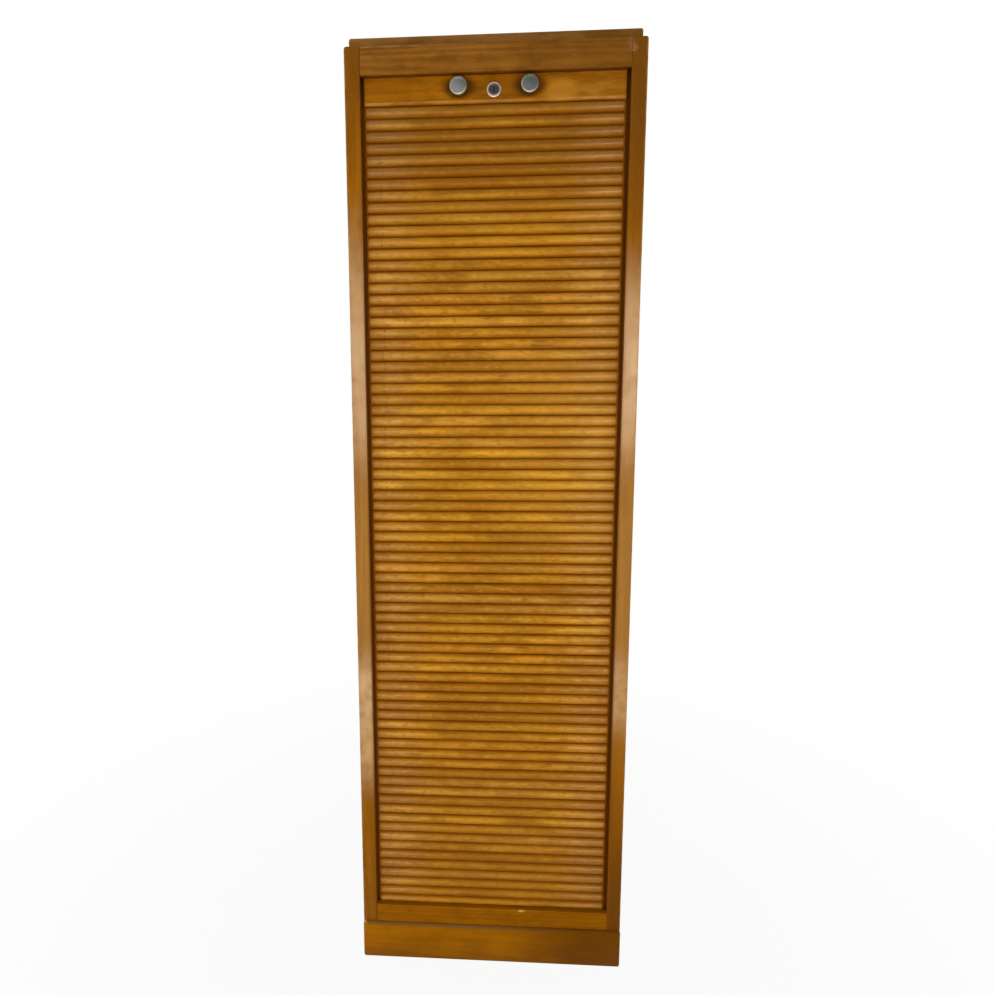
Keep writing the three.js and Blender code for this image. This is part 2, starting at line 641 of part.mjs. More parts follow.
function makeTail(group) {
  const stations = Array.from({ length: TAIL_SLATS }, (_, i) => tailStation((i + 0.5) * slatPitch));
  const reach = TAIL_SLATS * slatPitch - SLAT_GAP;
  const line = (out) =>
    Array.from({ length: 2 * CURVE_STEPS + 1 }, (_, i) => {
      const share = i / (2 * CURVE_STEPS);
      const { y, z, n } = tailStation(SLAT_GAP / 2 + share * reach);
      return [y + out * n[0], z + out * n[1]];
    });
  const inner = -TONGUE_THICKNESS / 2 - CANVAS_THICKNESS;
  const outer = -TONGUE_THICKNESS / 2 + CANVAS_BITE;
  const canvas = outline([...line(outer), ...line(inner).reverse()]);
  addPiece(group, "tambour_tail", curtain(stations, canvas), slatOak);
}

const knobX = KNOB_SPACING / 2;

function makeLeadSlat(group) {
  const profile = rounded([
    [SLAT_RECESS, leadBottomZ, LEAD_LOWER_ROUND],
    [leadBackY, leadBottomZ],
    [leadBackY, leadTopZ],
    [SLAT_RECESS, leadTopZ, ARRIS_ROUND],
  ]);
  const tongue = block(
    [-tongueHalf, leadBackY - TONGUE_THICKNESS, leadBottomZ],
    [tongueHalf, leadBackY, leadTopZ],
  );
  const holes = [
    [KNOB_SCREW_RADIUS + SCREW_CLEARANCE, -knobX, SCREW_SEGMENTS],
    [HOUSING_RADIUS + LOCK_CLEARANCE, 0, LOCK_SEGMENTS],
    [KNOB_SCREW_RADIUS + SCREW_CLEARANCE, knobX, SCREW_SEGMENTS],
  ].map(([radius, x, segments]) => bar(radius, 0, leadBackY + OVERRUN, x, handleZ, segments));
  const whole = alongX(profile, -slatHalf, slatHalf).add(tongue);
  const slat = holes.reduce((made, hole) => made.subtract(hole), whole);
  addPiece(group, "lead_slat", slat, slatOak);
}

function makeKnobs(group) {
  const faceY = SLAT_RECESS - KNOB_HEIGHT;
  const boreRadius = KNOB_SCREW_RADIUS + SCREW_CLEARANCE;
  const boreY = SLAT_RECESS - KNOB_SCREW_REACH - SCREW_CLEARANCE;
  const seatY = SLAT_RECESS - SEAT_GAP;
  const knob = turned(
    [
      [0, faceY],
      [KNOB_RADIUS - KNOB_BEVEL, faceY],
      [KNOB_RADIUS, faceY + KNOB_BEVEL],
      [KNOB_RADIUS, faceY + KNOB_RIM_DEPTH],
      [KNOB_NECK_RADIUS + KNOB_BEVEL, faceY + KNOB_RIM_DEPTH + KNOB_BEVEL],
      [KNOB_NECK_RADIUS, faceY + KNOB_RIM_DEPTH + 2 * KNOB_BEVEL],
      [KNOB_NECK_RADIUS, seatY - 2 * KNOB_FOOT_DEPTH],
      [KNOB_FOOT_RADIUS, seatY - KNOB_FOOT_DEPTH],
      [KNOB_FOOT_RADIUS, seatY],
      [boreRadius, seatY],
      [boreRadius, boreY],
      [0, boreY],
    ],
    KNOB_SEGMENTS,
  );
  const tipY = SLAT_RECESS - KNOB_SCREW_REACH;
  const headY = leadBackY + SEAT_GAP;
  const screw = bar(KNOB_SCREW_RADIUS, tipY, headY + SEAT_GAP, 0, 0, SCREW_SEGMENTS).add(
    bar(KNOB_SCREW_HEAD_RADIUS, headY, headY + KNOB_SCREW_HEAD_DEPTH, 0, 0, SCREW_SEGMENTS),
  );
  [
    ["left", -knobX],
    ["right", knobX],
  ].forEach(([side, x]) => {
    addPiece(group, `knob_${side}`, knob, zinc).position.set(x, 0, handleZ);
    addPiece(group, `knob_screw_${side}`, screw, steel).position.set(x, 0, handleZ);
  });
}

// Pieces of the lock are made about its axis and then lifted to the height of the knobs.
function makeLock(group) {
  const housingFrontY = SLAT_RECESS - HOUSING_PROUD;
  const ringRadius = HOUSING_RADIUS + LOCK_CLEARANCE;
  const rosetteY = SLAT_RECESS - ROSETTE_DEPTH;
  const rosette = turned(
    [
      [ringRadius, rosetteY],
      [ROSETTE_RADIUS - ROSETTE_ROUND, rosetteY],
      [ROSETTE_RADIUS, rosetteY + ROSETTE_ROUND],
      [ROSETTE_RADIUS, SLAT_RECESS - SEAT_GAP],
      [ringRadius, SLAT_RECESS - SEAT_GAP],
      [ringRadius, rosetteY],
    ],
    LOCK_SEGMENTS,
  );
  const boreRadius = PLUG_RADIUS + LOCK_CLEARANCE;
  const housing = bar(HOUSING_RADIUS, housingFrontY, housingBackY, 0, 0, LOCK_SEGMENTS).subtract(
    bar(boreRadius, housingFrontY - OVERRUN, housingBackY + OVERRUN, 0, 0, LOCK_SEGMENTS),
  );
  const nutRadius = NUT_ACROSS_FLATS / 2 / Math.cos(Math.PI / NUT_SIDES);
  const nutY = leadBackY + SEAT_GAP;
  const nut = bar(nutRadius, nutY, nutY + NUT_DEPTH, 0, 0, NUT_SIDES).subtract(
    bar(ringRadius, nutY - OVERRUN, nutY + NUT_DEPTH + OVERRUN, 0, 0, LOCK_SEGMENTS),
  );

  const plugY = housingFrontY + PLUG_SET_IN;
  const halfTail = PLUG_TAIL_SIDE / 2;
  const screwHole = HOOK_SCREW_RADIUS + SCREW_CLEARANCE;
  const tailBackY = hookBackY - SEAT_GAP;
  const plug = bar(PLUG_RADIUS, plugY, housingBackY, 0, 0, LOCK_SEGMENTS)
    .add(block([-halfTail, housingBackY - OVERRUN, -halfTail], [halfTail, tailBackY, halfTail]))
    .subtract(
      block(
        [-KEYWAY_WIDTH / 2, plugY - OVERRUN, -KEYWAY_HEIGHT / 2],
        [KEYWAY_WIDTH / 2, plugY + KEYWAY_DEPTH, KEYWAY_HEIGHT / 2],
      ),
    )
    .subtract(
      bar(screwHole, hookBackY - HOOK_SCREW_REACH, hookBackY + OVERRUN, 0, 0, SCREW_SEGMENTS),
    );

  const hookScrew = bar(
    HOOK_SCREW_RADIUS,
    hookBackY - HOOK_SCREW_REACH + SCREW_CLEARANCE,
    hookHeadY + SEAT_GAP,
    0,
    0,
    SCREW_SEGMENTS,
  ).add(bar(HOOK_SCREW_HEAD_RADIUS, hookHeadY, hookHeadBackY, 0, 0, SCREW_SEGMENTS));

  const pieces = [
    ["lock_rosette", rosette, nickel],
    ["lock_housing", housing, nickel],
    ["lock_nut", nut, steel],
    ["lock_plug", plug, steel],
    ["lock_hook", makeHook(), steel],
    ["hook_screw", hookScrew, steel],
  ];
  pieces.forEach(([name, made, material]) => {
    addPiece(group, name, made, material).position.z = handleZ;
  });
}

// Where the keeper's tab stands when the hook has turned up, from the lock's axis
const tabNearX = HOOK_ARM_WIDTH / 2 + KEEPER_MARGIN;
const tabFarX = tabNearX + KEEPER_TAB_WIDTH;
const tabTopZ = keeperBottomZ + KEEPER_TAB_THICKNESS;
const hookInner = Math.hypot(tabFarX, tabTopZ - handleZ) + KEEPER_MARGIN;
const hookOuter = hookInner + HOOK_BAND;

// The hooked cam at rest: its arm points along +X, and its finger follows an arc about the lock's axis.
function makeHook() {
  const halfArm = HOOK_ARM_WIDTH / 2;
  const finger = THREE.MathUtils.degToRad(HOOK_FINGER_DEG);
  const armOutline = outline([
    [0, -halfArm],
    ...arc(0, 0, hookOuter, -Math.asin(halfArm / hookOuter), finger, HOOK_STEPS),
    ...arc(0, 0, hookInner, finger, Math.asin(halfArm / hookInner), HOOK_STEPS),
    [0, halfArm],
  ]);
  const halfHole = PLUG_TAIL_SIDE / 2 + LOCK_CLEARANCE;
  const hole = block(
    [-halfHole, hookFrontY - OVERRUN, -halfHole],
    [halfHole, hookBackY + OVERRUN, halfHole],
  );
  return alongY(armOutline, hookFrontY, hookBackY)
    .add(bar(HOOK_HUB_RADIUS, hookFrontY, hookBackY, 0, 0, LOCK_SEGMENTS))
    .subtract(hole);
}

function makeKeeper(group) {
  const plateY = TOP_RAIL_THICKNESS + SEAT_GAP;
  const plateBackY = plateY + KEEPER_THICKNESS;
  const tab = block(
    [-tabFarX, plateBackY - KEEPER_THICKNESS / 2, keeperBottomZ],
    [-tabNearX, hookBackY + KEEPER_TAB_PAST_HOOK, tabTopZ],
  );
  const holeRadius = KEEPER_SCREW_RADIUS + SCREW_CLEARANCE;
  const holes = [-keeperScrewX, keeperScrewX].map((x) =>
    bar(holeRadius, plateY - OVERRUN, plateBackY + OVERRUN, x, keeperScrewZ, SCREW_SEGMENTS),
  );
  const halfPlate = KEEPER_WIDTH / 2;
  const plate = block([-halfPlate, plateY, keeperBottomZ], [halfPlate, plateBackY, keeperTopZ]);
  const keeper = holes.reduce((made, hole) => made.subtract(hole), plate.add(tab));
  addPiece(group, "keeper", keeper, steel);

  const headY = plateBackY + SEAT_GAP;
  const screw = bar(
    KEEPER_SCREW_RADIUS,
    TOP_RAIL_THICKNESS - KEEPER_SCREW_REACH,
    headY + SEAT_GAP,
    0,
    0,
    SCREW_SEGMENTS,
  ).add(bar(KEEPER_SCREW_HEAD_RADIUS, headY, headY + KEEPER_SCREW_HEAD_DEPTH, 0, 0, SCREW_SEGMENTS));
  [
    ["left", -keeperScrewX],
    ["right", keeperScrewX],
  ].forEach(([side, x]) => {
    addPiece(group, `keeper_screw_${side}`, screw, steel).position.set(x, 0, keeperScrewZ);
  });
}

const carcass = new THREE.Group();
makeSides(carcass);
makeRails(carcass);
makeTopAndFloor(carcass);
makeBacks(carcass);
makeGrooveStops(carcass);
makeKeeper(carcass);

const inside = new THREE.Group();
makeShelves(inside);

const tambour = new THREE.Group();
makeLeadSlat(tambour);
makeSections(tambour);
makeTail(tambour);
makeKnobs(tambour);
makeLock(tambour);

// The knobs stand furthest forward, and the sides end furthest back.
const frontY = Math.min(SLAT_RECESS - KNOB_HEIGHT, -PLINTH_PROUD);
cabinet.add(carcass, inside, tambour);
cabinet.position.y = -(frontY + CABINET_DEPTH) / 2;

export default cabinet;
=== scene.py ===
# %% [markdown]
# A tall oak filing cabinet, closed by one tambour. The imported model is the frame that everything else
# is fitted to: its nodes arrive in metres, standing on the floor, with the front towards -Y.
# What shows is made again here: the boards as smooth copies of their solids or as rounded boxes, and
# the slats, the knobs and the lock with finer shapes. Small and hidden pieces mostly keep their solids
# and only get a finish.

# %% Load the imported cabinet
import json
import math
from collections import namedtuple

import bmesh
import bpy
from mathutils import Matrix, Vector

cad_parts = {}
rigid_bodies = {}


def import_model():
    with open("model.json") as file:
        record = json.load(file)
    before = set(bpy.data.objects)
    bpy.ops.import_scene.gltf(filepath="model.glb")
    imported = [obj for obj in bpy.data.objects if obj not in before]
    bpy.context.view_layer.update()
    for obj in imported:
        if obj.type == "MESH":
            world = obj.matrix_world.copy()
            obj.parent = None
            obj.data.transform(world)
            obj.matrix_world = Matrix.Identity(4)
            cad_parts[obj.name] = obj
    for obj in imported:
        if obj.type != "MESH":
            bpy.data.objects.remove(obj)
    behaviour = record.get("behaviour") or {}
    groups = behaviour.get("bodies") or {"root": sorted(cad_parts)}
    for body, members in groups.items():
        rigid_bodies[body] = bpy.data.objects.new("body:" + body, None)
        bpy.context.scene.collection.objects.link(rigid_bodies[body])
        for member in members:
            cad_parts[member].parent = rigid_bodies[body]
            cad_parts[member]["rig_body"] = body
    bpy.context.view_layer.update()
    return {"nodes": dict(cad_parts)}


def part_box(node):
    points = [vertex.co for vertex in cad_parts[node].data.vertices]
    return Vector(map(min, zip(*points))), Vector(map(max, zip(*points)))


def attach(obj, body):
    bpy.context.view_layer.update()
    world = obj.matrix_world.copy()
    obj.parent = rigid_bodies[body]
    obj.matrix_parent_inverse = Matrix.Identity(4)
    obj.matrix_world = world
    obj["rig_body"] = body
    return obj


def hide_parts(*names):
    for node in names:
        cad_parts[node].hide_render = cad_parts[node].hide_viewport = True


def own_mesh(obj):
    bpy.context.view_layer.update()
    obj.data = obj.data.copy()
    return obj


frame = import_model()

nodes = frame["nodes"]

# %% [markdown]
# Shader and geometry trees are long when every node is placed by hand. One small class stands for a
# socket and can be written in sums, so that 1 - dirt * 0.4 adds its Math nodes. A bench holds one
# tree, and all other nodes come from its one method: settings first, then values or wires. A colour is
# three numbers, to which it adds the fourth. Patterns that nearly every finish uses have a name.

# %% A socket that can be written in sums, and the bench that it lies on
NEAR_CORE = 0.35
SPOT_CORE = 0.5


class Wire:
    def __init__(self, bench, socket):
        self.bench = bench
        self.socket = socket

    def output(self, name):
        return Wire(self.bench, self.socket.node.outputs[name])

    def __add__(self, other):
        return self.bench.maths("ADD", self, other)

    def __radd__(self, other):
        return self.bench.maths("ADD", other, self)

    def __sub__(self, other):
        return self.bench.maths("SUBTRACT", self, other)

    def __rsub__(self, other):
        return self.bench.maths("SUBTRACT", other, self)

    def __mul__(self, other):
        return self.bench.maths("MULTIPLY", self, other)

    def __rmul__(self, other):
        return self.bench.maths("MULTIPLY", other, self)

    def __abs__(self):
        return self.bench.maths("ABSOLUTE", self)

    def larger(self, other):
        return self.bench.maths("MAXIMUM", self, other)

    def rest_of(self, count):
        """What is left behind the point: a second and a third number for each slat, from its first."""
        return self.bench.maths("FRACT", self * count)

    def waves(self, count):
        """A sine that runs from 0 to 1."""
        return self.bench.maths("SINE", self * count) * 0.5 + 0.5

    def past(self, low, high):
        """A soft step: 0 up to low, 1 from high on."""
        values = {"Value": self, "From Min": low, "From Max": high}
        return self.bench.add("ShaderNodeMapRange", {"interpolation_type": "SMOOTHSTEP"}, values)

    def near(self, centre, reach):
        """1 about the centre, falling to 0 at its reach on both sides."""
        return 1.0 - abs(self - centre).past(reach * NEAR_CORE, reach)

    def parts(self):
        split = self.bench.add("ShaderNodeSeparateXYZ", {}, {0: self})
        return split, split.output("Y"), split.output("Z")

    def length(self):
        return self.bench.vectors("LENGTH", self, out="Value")

    def moved(self, offset):
        return self.bench.vectors("ADD", self, offset)

    def drawn(self, share, grain="x", shift=(0.0, 0.0, 0.0)):
        """A place whose patterns are drawn out along the grain."""
        scale = [share if axis == grain else 1.0 for axis in "xyz"]
        return self.bench.add("ShaderNodeMapping", {}, {"Vector": self, "Location": shift, "Scale": scale})

    def cloud(self, scale, detail=2.0, roughness=0.5):
        values = {"Vector": self, "Scale": scale, "Detail": detail, "Roughness": roughness}
        return self.bench.add("ShaderNodeTexNoise", {}, values)

    def spot(self, centre, sizes):
        """1 inside an oval at a place on the cabinet, falling to 0 at its edge."""
        offset = self.bench.vectors("SUBTRACT", self, centre)
        return 1.0 - self.bench.vectors("DIVIDE", offset, sizes).length().past(SPOT_CORE, 1.0)


class Bench:
    def __init__(self, tree):
        self.tree = tree

    def add(self, kind, settings, values, out=0):
        node = self.tree.nodes.new(kind)
        for name, value in settings.items():
            setattr(node, name, value)
        for key, value in values.items():
            socket = node.inputs[key]
            if isinstance(value, Wire):
                self.tree.links.new(value.socket, socket)
            else:
                socket.default_value = (*value, 1.0) if socket.type == "RGBA" else value
        return Wire(self, node.outputs[out]) if node.outputs else None

    def maths(self, operation, *values):
        return self.add("ShaderNodeMath", {"operation": operation}, dict(enumerate(values)))

    def vectors(self, operation, *values, out=0):
        return self.add("ShaderNodeVectorMath", {"operation": operation}, dict(enumerate(values)), out)

    def vector(self, x, y, z):
        return self.add("ShaderNodeCombineXYZ", {}, {0: x, 1: y, 2: z})


print("bench ready")

# %% [markdown]
# A finish is one material. Its patterns lie on Object coordinates, and because every finished object
# stands at the origin these are simply metres in the room. So two boards never show the same grain,
# and a mark can be put at a known place on the cabinet. Its colour is built up as a painter would:
# a first colour, and over it one layer after another, each with the share of it that covers.

# %% A finish
GRAIN_DEPTH = 0.0002


class Finish(Bench):
    def __init__(self, name):
        self.material = bpy.data.materials.new(name)
        self.material.use_nodes = True
        super().__init__(self.material.node_tree)
        self.tree.nodes.clear()

    def place(self):
        return self.add("ShaderNodeTexCoord", {}, {}, "Object")

    def laid(self, share, under, over):
        return self.add("ShaderNodeMix", {"data_type": "RGBA"}, {0: share, 6: under, 7: over}, 2)

    def layers(self, colour, *layers):
        for share, over in layers:
            colour = self.laid(share, colour, over)
        return colour

    def surface(self, colour, roughness, relief, depth=GRAIN_DEPTH, **fixed):
        normal = self.add("ShaderNodeBump", {}, {"Strength": 1.0, "Distance": depth, "Height": relief})
        values = {"Base Color": colour, "Roughness": roughness, "Normal": normal}
        values.update({name.replace("_", " "): value for name, value in fixed.items()})
        shader = self.add("ShaderNodeBsdfPrincipled", {}, values)
        self.add("ShaderNodeOutputMaterial", {}, {"Surface": shader})
        return self.material


print("finishes can be mixed")

# %% [markdown]
# The photograph was taken with a wide lens, 1.2 m before the cabinet and 1.05 m above the floor, and
# tilted down by 8 degrees. Its place comes from a fit of the cabinet's corners to the picture. The
# middle of the lens lies left of the middle of the picture, which was cropped, so the camera has a
# small shift.

# %% Camera
PHOTO_WIDTH = 994
PHOTO_HEIGHT = 995
FOCAL_PIXELS = 700.0
LENS_CENTRE_X = 450.0
SENSOR = 36.0
CAMERA_PLACE = Vector((0.0034, -1.3882, 1.0508))
CAMERA_SWING = Vector((0.14044161, 0.06332298, 0.00012539))
NEAREST = 0.01

scene = bpy.context.scene


def put(name, data):
    """A new object at the origin, in the scene's own collection."""
    made = bpy.data.objects.new(name, data)
    scene.collection.objects.link(made)
    return made


level = Matrix(((1.0, 0.0, 0.0), (0.0, 0.0, -1.0), (0.0, 1.0, 0.0)))
right, down, ahead = Matrix.Rotation(CAMERA_SWING.length, 3, CAMERA_SWING.normalized()) @ level
lens = bpy.data.cameras.new("camera")
lens.sensor_width = SENSOR
lens.lens = FOCAL_PIXELS * SENSOR / PHOTO_HEIGHT
lens.shift_x = (PHOTO_WIDTH / 2 - LENS_CENTRE_X) / PHOTO_HEIGHT
lens.clip_start = NEAREST
camera = put("camera", lens)
camera.matrix_world = Matrix.Translation(CAMERA_PLACE) @ Matrix((right, -down, -ahead)).transposed().to_4x4()
scene.camera = camera
scene.view_settings.view_transform = "Standard"
print("lens", round(lens.lens, 2), "mm")

# %% [markdown]
# The light is that of a plain room. Two warm windows stand behind the camera, at about its height, and
# their sheen lies on the middle of the stiles. They also light two patches of the floor, which shine
# on the stiles lower down. Soft light comes from straight ahead and up from the floor, and less of it
# from the ceiling. Two more lamps stand behind the cabinet, for its sides and back. The world and the
# floor look white to the eye and in reflections, and light the cabinet far less.

# %% Room and floor
WHITE = (1.0, 1.0, 1.0)
ROOM_GLOW = 0.45
FLOOR_SIZE = 60.0
FLOOR_GREY = (0.5, 0.5, 0.5)
FLOOR_PALENESS = 0.93
SHADOW_START = 0.3
SHADOW_END = 1.6


def seen_ray(bench):
    path = bench.add("ShaderNodeLightPath", {}, {}, "Is Camera Ray")
    return path.larger(path.output("Is Glossy Ray")).larger(path.output("Is Transmission Ray"))


def make_room():
    world = bpy.data.worlds.new("room")
    world.use_nodes = True
    bench = Bench(world.node_tree)
    bench.tree.nodes.clear()
    strength = seen_ray(bench) * (1.0 - ROOM_GLOW) + ROOM_GLOW
    glow = bench.add("ShaderNodeBackground", {}, {"Color": WHITE, "Strength": strength})
    bench.add("ShaderNodeOutputWorld", {}, {"Surface": glow})
    scene.world = world


def make_floor():
    finish = Finish("pale_floor")
    matt = finish.add("ShaderNodeBsdfDiffuse", {}, {"Color": FLOOR_GREY})
    white = finish.add("ShaderNodeEmission", {}, {"Color": WHITE, "Strength": 1.0})
    x, y, z = finish.place().parts()
    away = finish.vector(x, y, 0.0).length().past(SHADOW_START, SHADOW_END)
    paleness = FLOOR_PALENESS + away * (1.0 - FLOOR_PALENESS)
    mixed = finish.add("ShaderNodeMixShader", {}, {0: seen_ray(finish) * paleness, 1: matt, 2: white})
    finish.add("ShaderNodeOutputMaterial", {}, {"Surface": mixed})
    half = FLOOR_SIZE / 2
    corners = [(-half, -half, 0.0), (half, -half, 0.0), (half, half, 0.0), (-half, half, 0.0)]
    mesh = bpy.data.meshes.new("floor")
    mesh.from_pydata(corners, [], [(0, 1, 2, 3)])
    mesh.materials.append(finish.material)
    put("floor", mesh)


make_room()
make_floor()
print("floor", FLOOR_SIZE, "m wide")

# %% Lamps
WINDOW_WARMTH = (1.0, 0.86, 0.68)
CEILING_WARMTH = (1.0, 0.93, 0.84)

# Name, place, the point it looks at, width, height, watts and colour of each lamp
LAMPS = [
    ("window_left", (-0.95, -3.3, 1.23), (0.0, -0.2, 1.05), 0.8, 0.6, 13.0, WINDOW_WARMTH),
    ("window_right", (0.95, -3.3, 1.18), (0.0, -0.2, 1.05), 0.8, 0.3, 16.8, WINDOW_WARMTH),
    ("floor_patch_left", (-0.42, -1.3, 0.04), (-0.23, -0.2, 0.5), 0.34, 0.3, 1.3, WINDOW_WARMTH),
    ("floor_patch_right", (0.42, -1.3, 0.04), (0.23, -0.2, 0.55), 0.24, 0.2, 0.5, WINDOW_WARMTH),
    ("ahead", (0.0, -1.8, 0.95), (0.0, -0.2, 0.93), 0.8, 0.8, 7.6, CEILING_WARMTH),
    ("floor_ahead", (0.0, -2.0, 0.04), (0.0, -0.2, 1.3), 0.8, 0.5, 9.0, CEILING_WARMTH),
    ("ceiling", (-0.3, -1.35, 3.3), (0.0, -0.2, 0.9), 1.8, 1.2, 3.5, CEILING_WARMTH),
    ("rear_left", (-2.4, 1.5, 1.7), (0.0, 0.1, 0.9), 2.6, 3.0, 46.0, CEILING_WARMTH),
    ("rear_right", (2.4, 1.5, 1.7), (0.0, 0.1, 0.9), 2.6, 3.0, 46.0, CEILING_WARMTH),
]
for name, place, aim, width, height, watts, colour in LAMPS:
    light = bpy.data.lights.new(name, "AREA")
    light.shape = "RECTANGLE"
    light.size = width
    light.size_y = height
    light.energy = watts
    light.color = colour
    turn = (Vector(aim) - Vector(place)).to_track_quat("-Z", "Y").to_matrix().to_4x4()
    put(name, light).matrix_world = Matrix.Translation(place) @ turn
print("room lit by", len(LAMPS), "lamps")

# %% [markdown]
# Oak is ring-porous: each year leaves a band of large pores, which a plane cuts open into short dark
# lines. Cut lengthwise the bands become arches and streaks. They could be drawn as waves, but waves
# look ruled. The contour lines of a soft cloud, drawn out along the grain, close into arches by
# themselves. Over the grain lie blotches of old varnish, and each board adds marks of its own.

# %% Oak
GRAIN_SHARE = 0.05
MOTTLE_SHARE = 0.5
RING_WAVES = 130.0
OAK_SHEEN = 0.22
SHEEN_TINT = (1.0, 0.55, 0.1)
NUT_BROWN = (0.065, 0.02, 0.003)


def oak_grain(place, grain, seed):
    """Bands, streaks, pores, blotches and a finer mottle, each from 0 to 1."""
    shift = (seed, seed * 1.7, seed * 0.6)
    lengthwise = place.drawn(GRAIN_SHARE, grain, shift)
    bands = lengthwise.cloud(11.0, 1.5).waves(RING_WAVES)
    streaks = lengthwise.cloud(190.0, 3.0, 0.6)
    pores = lengthwise.cloud(1500.0, 1.0).past(0.56, 0.7) * (0.35 + bands * 0.65)
    blotches = place.drawn(1.0, grain, shift).cloud(6.0, 4.0, 0.6)
    mottle = place.drawn(MOTTLE_SHARE, grain, shift).cloud(42.0, 3.0, 0.6)
    return bands, streaks, pores, blotches, mottle


def oak(name, grain, light, dark, seed, marks, gloss=0.36, figure=0.3, cloudy=0.3, sheen=OAK_SHEEN):
    """Marks gives layers that lie over the bare oak, what they add to its roughness, and its polish."""
    finish = Finish(name)
    place = finish.place()
    bands, streaks, pores, blotches, mottle = oak_grain(place, grain, seed)
    layers, rougher, polish = marks(place, blotches)
    colour = finish.layers(
        light,
        (bands * figure + streaks.past(0.3, 0.72) * 0.32, dark),
        (blotches.past(0.44, 0.7) * 0.5, dark),
        (mottle.past(0.48, 0.68) * cloudy, dark),
        ((1.0 - mottle.past(0.3, 0.48)) * cloudy * 0.6, light),
        (pores * 0.38, NUT_BROWN),
        *layers,
    )
    return finish.surface(
        colour,
        gloss + blotches.past(0.4, 0.7) * 0.08 + pores * 0.15 + rougher,
        streaks * 0.35 - pores - bands * 0.1,
        Specular_IOR_Level=sheen,
        Specular_Tint=SHEEN_TINT,
        Coat_Weight=polish,
        Coat_Roughness=0.26,
    )


print("oak ready")

# %% [markdown]
# The carcass is varnished oak. The two sides are solid boards with upright grain, polished by hands
# at the height of a standing person and rubbed lower down; in both places their colour is also painted
# paler, as a painted sheen. A wide band between them is painted lighter, as painted light. Painted
# shade lies along their outer arris, dirt and painted shade lie in the reveal beside the tambour, and
# they are darker towards the foot and the top. The rails, the plinth and the board on top have level
# grain. Their marks are those of the photograph: a pink patch of wear at the top right, a grey rubbed
# line along the rounded edge of the plinth, and a chip in the lower rail. The pale line along the top
# arris of the top rail is partly wear and partly a painted highlight.

# %% Colours and places of the carcass
SIDE_LIGHT = (0.29, 0.107, 0.003)
SIDE_DARK = (0.18, 0.06, 0.002)
RAIL_LIGHT = (0.275, 0.111, 0.014)
RAIL_DARK = (0.11, 0.038, 0.002)
BOARD_LIGHT = (0.255, 0.114, 0.025)
BOARD_DARK = (0.105, 0.043, 0.007)
LOWER_LIGHT = (0.28, 0.1, 0.0004)
LOWER_DARK = (0.165, 0.056, 0.0004)
FOOT_LIGHT = (0.34, 0.126, 0.0003)
FOOT_DARK = (0.2, 0.072, 0.0003)
FOOT_BROWN = (0.108, 0.034, 0.0003)
HEAD_BROWN = (0.13, 0.046, 0.004)
PALE_WEAR_AND_SHEEN = (0.52, 0.33, 0.12)
PINK_WEAR = (0.38, 0.19, 0.13)
GREY_WEAR = (0.13, 0.07, 0.022)
CHIP_WHITE = (0.6, 0.36, 0.13)
GAP_DIRT_AND_SHADE = (0.09, 0.025, 0.002)
WAXED_LIGHT = (0.5, 0.31, 0.14)
WAXED_DARK = (0.33, 0.18, 0.07)

# The polished places are also painted paler, as a painted sheen, and the band is painted light
# Height of the middle and reach, in metres
KICKED_AND_SHEEN_LEFT = (0.47, 0.17)
KICKED_AND_SHEEN_RIGHT = (0.53, 0.1)
HANDLED_AND_SHEEN_LEFT = (1.13, 0.28)
HANDLED_AND_SHEEN_RIGHT = (1.1, 0.23)
PAINTED_LIGHT_BAND = (0.7, 0.36)

side_low, side_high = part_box("right_side")
front_y = side_low.y
side_top = side_high.z
inside_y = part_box("rack_front_left")[0].y - 0.006
plinth_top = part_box("plinth")[1].z
rail_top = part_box("bottom_rail")[1].z
curtain_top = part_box("lead_slat")[0].z
print("front at y", round(front_y, 4), "top of the sides at z", round(side_top, 4))

# %% Marks of the sides


def pink_patch(place):
    lower = place.spot((0.2178, front_y, 1.591), (0.0085, 0.02, 0.0075))
    upper = place.spot((0.2145, front_y, 1.6), (0.0065, 0.02, 0.0085))
    mottle = place.cloud(270.0, 3.0).past(0.3, 0.7)
    return (lower * 0.42 + upper * 0.2) * (0.15 + mottle * 1.2), PINK_WEAR


